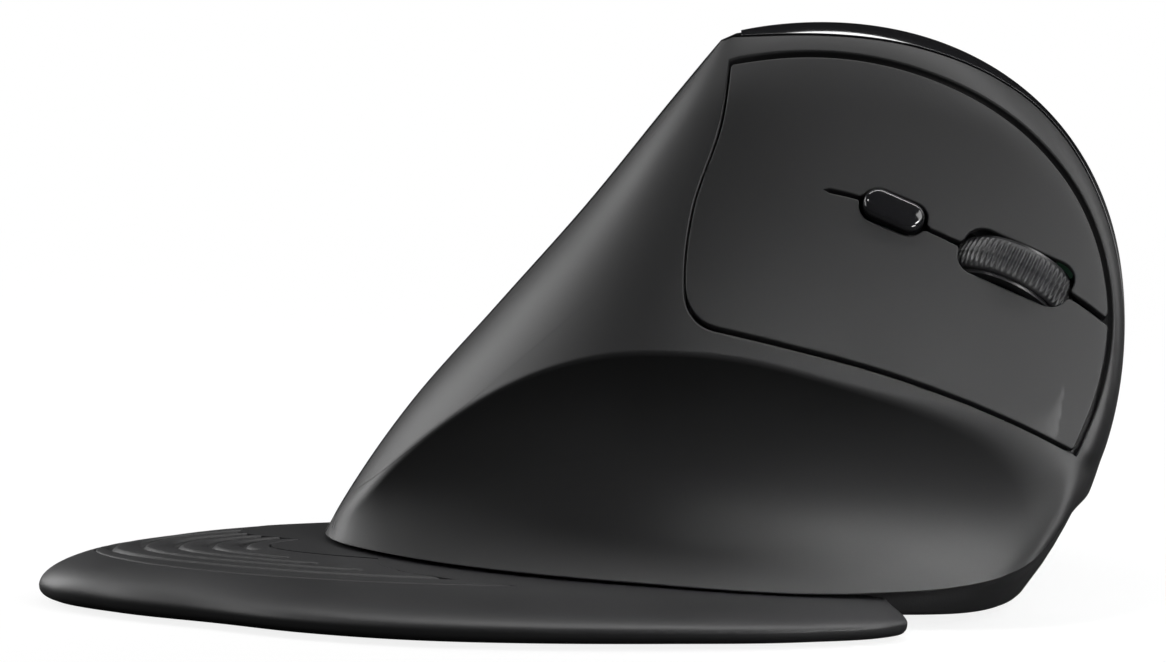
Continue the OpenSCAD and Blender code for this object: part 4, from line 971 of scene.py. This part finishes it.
def rest_piece():
    """Crescent round the base: domed top, bullnose rim, flat underside."""
    (far, far_run), (near, near_run) = REST_TIPS
    ends = np.sin(np.linspace(0, math.pi / 2, 16))
    tips = far - (far_run - 0.02) * ends[::-1], near + (near_run - 0.02) * ends
    a = np.concatenate([tips[0], np.linspace(far + 0.6, near - 0.5, 330), tips[1]])[:, None]
    e = np.where(a > near, (a - near) / near_run, np.where(a < far, (far - a) / far_run, 0))
    k = np.sqrt(np.maximum(1 - e * e, 0.0004))
    r0, r1 = rest_in(a), curve(REST_EDGE, a)
    m = (r0 + r1) / 2
    q0, q1 = m + (r0 - m) * k, m + (r1 - m) * k
    c, s = np.cos(np.radians(a)), np.sin(np.radians(a))

    def at(q, z):
        return np.stack([REST_MID[0] + q * c, REST_MID[1] + q * s, np.broadcast_to(z, q.shape)], -1)

    t = 1 - (1 - np.linspace(0, 1, 44)) ** 2.2
    o = r0 + (r1 - r0) * t
    top = at(q0 + (q1 - q0) * t, rest_top(REST_MID[0] + o * c, REST_MID[1] + o * s))
    phi = np.linspace(0, math.pi / 2, 9)[1:]
    q = q1 - 2.2 * (1 - np.cos(phi)) * np.minimum(1, (q1 - q0) / 6)
    rim = at(q, NOSE_Z - 0.1 - (NOSE_Z - 0.1 - LIP_Z) * np.sin(phi))
    under = at(q0 + (q[:, -1:] - q0) * np.array([0.93, 0.5, 0.2, 0]), FLOOR_Z - 0.1)
    points, faces = tube(np.concatenate([top, rim, under], 1))
    return make_piece("rest_crescent", points, faces, "rest_grey", ["palm_rest_base"], "palm_rest")


def pad_angle(w, t):
    """Angle along a ring of the pad: the outer rings reach further round at both ends."""
    k = (PAD_OUT[0] - w) / (PAD_OUT[0] - PAD_IN[0])
    (a, b), (c, d) = PAD_ENDS
    return (a + (b - a) * k) * (1 - t) + (c + (d - c) * k) * t


def pad_ring(w, l, t):
    a = np.radians(pad_angle(w, t))
    return np.stack([PAD_MID[0] + w * np.cos(a), PAD_MID[1] + l * np.sin(a)], -1)


def pad_plan(e, n=160):
    """Outline of the pad, grown by e: outer ring, near end, inner ring, far end."""
    t = np.linspace(-e / 60, 1 + e / 60, n)
    w, l = np.array([PAD_OUT] + GROOVES + [PAD_IN]).T
    outer, inner = pad_ring(w[0] + e, l[0] + e, t), pad_ring(w[-1] - e, l[-1] - e, t)[::-1]
    return np.concatenate([outer, pad_ring(w, l, t[-1])[1:-1], inner, pad_ring(w, l, t[0])[::-1][1:-1]])


rest = rest_piece()
cut_out(rest, [prism(pad_plan(0.16), PAD_FLOOR - 0.1, 20)])


def pad_piece():
    """Rubber pad with five nested grooves, open to the far edge and round at the near ends."""
    lines = [PAD_OUT] + GROOVES + [PAD_IN]
    levels, groove_of, offset = [], [], []
    across = np.linspace(-1, 1, 17)
    for i, (w, l) in enumerate(lines):
        if i in (0, len(lines) - 1):
            sign = 1 if i == 0 else -1
            for s in ([0, 0.05, 0.15, 0.3] if i == 0 else [0.3, 0.15, 0.05, 0]):
                levels.append((w - sign * s, l - sign * s))
                groove_of.append(-1 if s > 0.29 else -2)
                offset.append(s)
        else:
            for s in across:
                levels.append((w - GROOVE_HALF[0] * s, l - GROOVE_HALF[1] * s))
                groove_of.append(i - 1)
                offset.append(s)
    levels = np.array(levels)
    a = pad_angle(levels[None, :, 0], np.linspace(0, 1, 460)[:, None])
    x = PAD_MID[0] + levels[None, :, 0] * np.cos(np.radians(a))
    y = PAD_MID[1] + levels[None, :, 1] * np.sin(np.radians(a))
    drop = np.zeros(x.shape)
    for k, (g, o) in enumerate(zip(groove_of, offset)):
        if g == -2:
            drop[:, k] = 0.3 * (1 - math.sqrt(max(0, 1 - (1 - o / 0.3) ** 2)))
        if g >= 0:
            shape = np.clip((o + 1) / 0.3, 0, 1) if o < -0.6 else np.clip((1 - o) / 1.6, 0, 1)
            span = smooth((GROOVE_NEAR[g] - a[:, k]) / 1.2)
            dot = np.exp(-((GROOVE_NEAR[g] - 1.6 - a[:, k]) / 0.9) ** 2)
            drop[:, k] = (GROOVE_DEEP * span + DOT_DEEP * dot) * smooth(shape)
    top = np.stack([x, y, rest_top(x, y) - drop], -1)
    under = np.stack([x, y, np.full(x.shape, PAD_FLOOR)], -1)[:, ::-6]
    points, faces = tube(np.concatenate([top, under], 1))
    piece = make_piece("grooved_pad", points, faces, "pad_rubber", ["palm_pad"], "palm_rest")


pad_piece()

# Every solid that still shows takes the finish of its slot.
node_slots = {row["node"]: row["material_slot"] for row in frame["record"]["subparts"]}
for name, piece in frame["nodes"].items():
    finish = FINISHES.get(node_slots.get(name), FINISHES["inner_black"])
    for material_slot in piece.material_slots:
        material_slot.material = finish


# Studio: pale floor, white surroundings, soft lamps, long lens; sizes in metres.
FLOOR_SIZE = 24


def floor_finish():
    """Pale floor: pure white in the distance. Within about 0.3 m of the object its glow is painted weaker, a
    painted dim halo round the object, so that its shadow shows.
    """
    f = Finish("pale_floor")
    seen = f.seen()
    far = f.node("ShaderNodeVectorMath", {"operation": "LENGTH"}, {0: f.place()}, "Value")
    speck = f.noise(40, 2.0)
    bounce = f.tones(speck, (0.06, 0.06, 0.06), (0.07, 0.07, 0.07))
    f.set(base_color=f.mix(seen, bounce, (0.95, 0.95, 0.95, 1)))
    f.set(roughness=speck * 0.1 + 0.8, specular_ior_level=0.0)
    glow = f.node("ShaderNodeEmission", {}, {"Strength": 1.0})
    # Painted light: the floor glows by itself, and less near the object, which paints a dim halo there; only
    # the lit share carries the real shadow.
    white = far * 0.6 + 0.82
    share = seen * white.math("MINIMUM", white, 1.0)
    lit = f.node("ShaderNodeMixShader", {}, {0: share, 1: Socket(f, f.shader.outputs[0]), 2: glow})
    f.feed(f.tree.nodes["Material Output"].inputs["Surface"], lit)
    return f.material


def studio():
    """The floor, and surroundings that are white to look at and dark for bounced light."""
    mesh = bpy.data.meshes.new("floor")
    corners = [(x, y, 0) for x, y in box_ring(0, 0, FLOOR_SIZE, FLOOR_SIZE)]
    mesh.from_pydata(corners, [], [(0, 1, 2, 3)])
    mesh.materials.append(floor_finish())
    floor = bpy.data.objects.new("floor", mesh)
    bpy.context.collection.objects.link(floor)
    floor.location.z = -0.0003
    world = bpy.data.worlds.new("studio")
    bpy.context.scene.world = world
    world.use_nodes = True
    air = Nodes(world.node_tree)
    colour = air.mix(air.seen(), (0.006, 0.006, 0.006, 1), (1, 1, 1, 1))
    air.feed(air.tree.nodes["Background"].inputs["Color"], colour)


def aimed(name, data, place, aim):
    """A lamp or a camera at a place, turned to a point."""
    thing = bpy.data.objects.new(name, data)
    bpy.context.collection.objects.link(thing)
    thing.location = place
    thing.rotation_mode = "QUATERNION"
    thing.rotation_quaternion = Vector(np.subtract(aim, place)).to_track_quat("-Z", "Y")
    return thing


def lamp(name, place, aim, size, power, beam=180):
    """Soft rectangular lamp; metres, watts and degrees."""
    data = bpy.data.lights.new(name, "AREA")
    data.shape, data.size, data.size_y, data.energy = "RECTANGLE", size[0], size[1], power
    data.spread = math.radians(beam)
    aimed(name, data, place, aim)


def lights():
    lamp("right_high", (0.13, 0.28, 0.30), (0, 0.05, 0.03), (0.2, 0.2), 0.56)
    lamp("right_low", (0.29, 0.19, 0.08), (0.027, 0.062, 0.018), (0.1, 0.08), 0.024, 36)
    lamp("right_beam", (0.2, 0.2, 0.2), (0.02, 0.062, 0.032), (0.08, 0.08), 0.0105, 24)
    lamp("skirt_beam", (0.11, -0.03, 0.23), (0.028, 0.054, 0.006), (0.04, 0.04), 0.0045, 16)
    lamp("right_back", (-0.2, 0.35, 0.2), (0, 0.03, 0.03), (0.2, 0.3), 0.43)
    lamp("left_back", (-0.2, -0.35, 0.2), (0, 0, 0.03), (0.2, 0.3), 1.3)
    lamp("left", (0.05, -0.3, 0.2), (0, -0.02, 0.02), (0.15, 0.15), 0.24)
    lamp("overhead", (-0.2, 0.12, 0.85), (-0.2, 0.05, 0.05), (0.09, 0.9), 4.2)


def camera():
    """Long lens from the finger side, a little above."""
    data = bpy.data.cameras.new("camera")
    distance, rise, seen = 3.0, math.radians(10), 0.1586
    target = np.array([0, 0.00007, 0.03556])
    data.sensor_width = 36
    data.lens = data.sensor_width * distance / seen
    data.clip_end = 60
    back = np.array([math.cos(rise), 0, math.sin(rise)])
    bpy.context.scene.camera = aimed("camera", data, target + back * distance, target)


studio()
lights()
camera()
bpy.context.scene.view_settings.view_transform = "Standard"
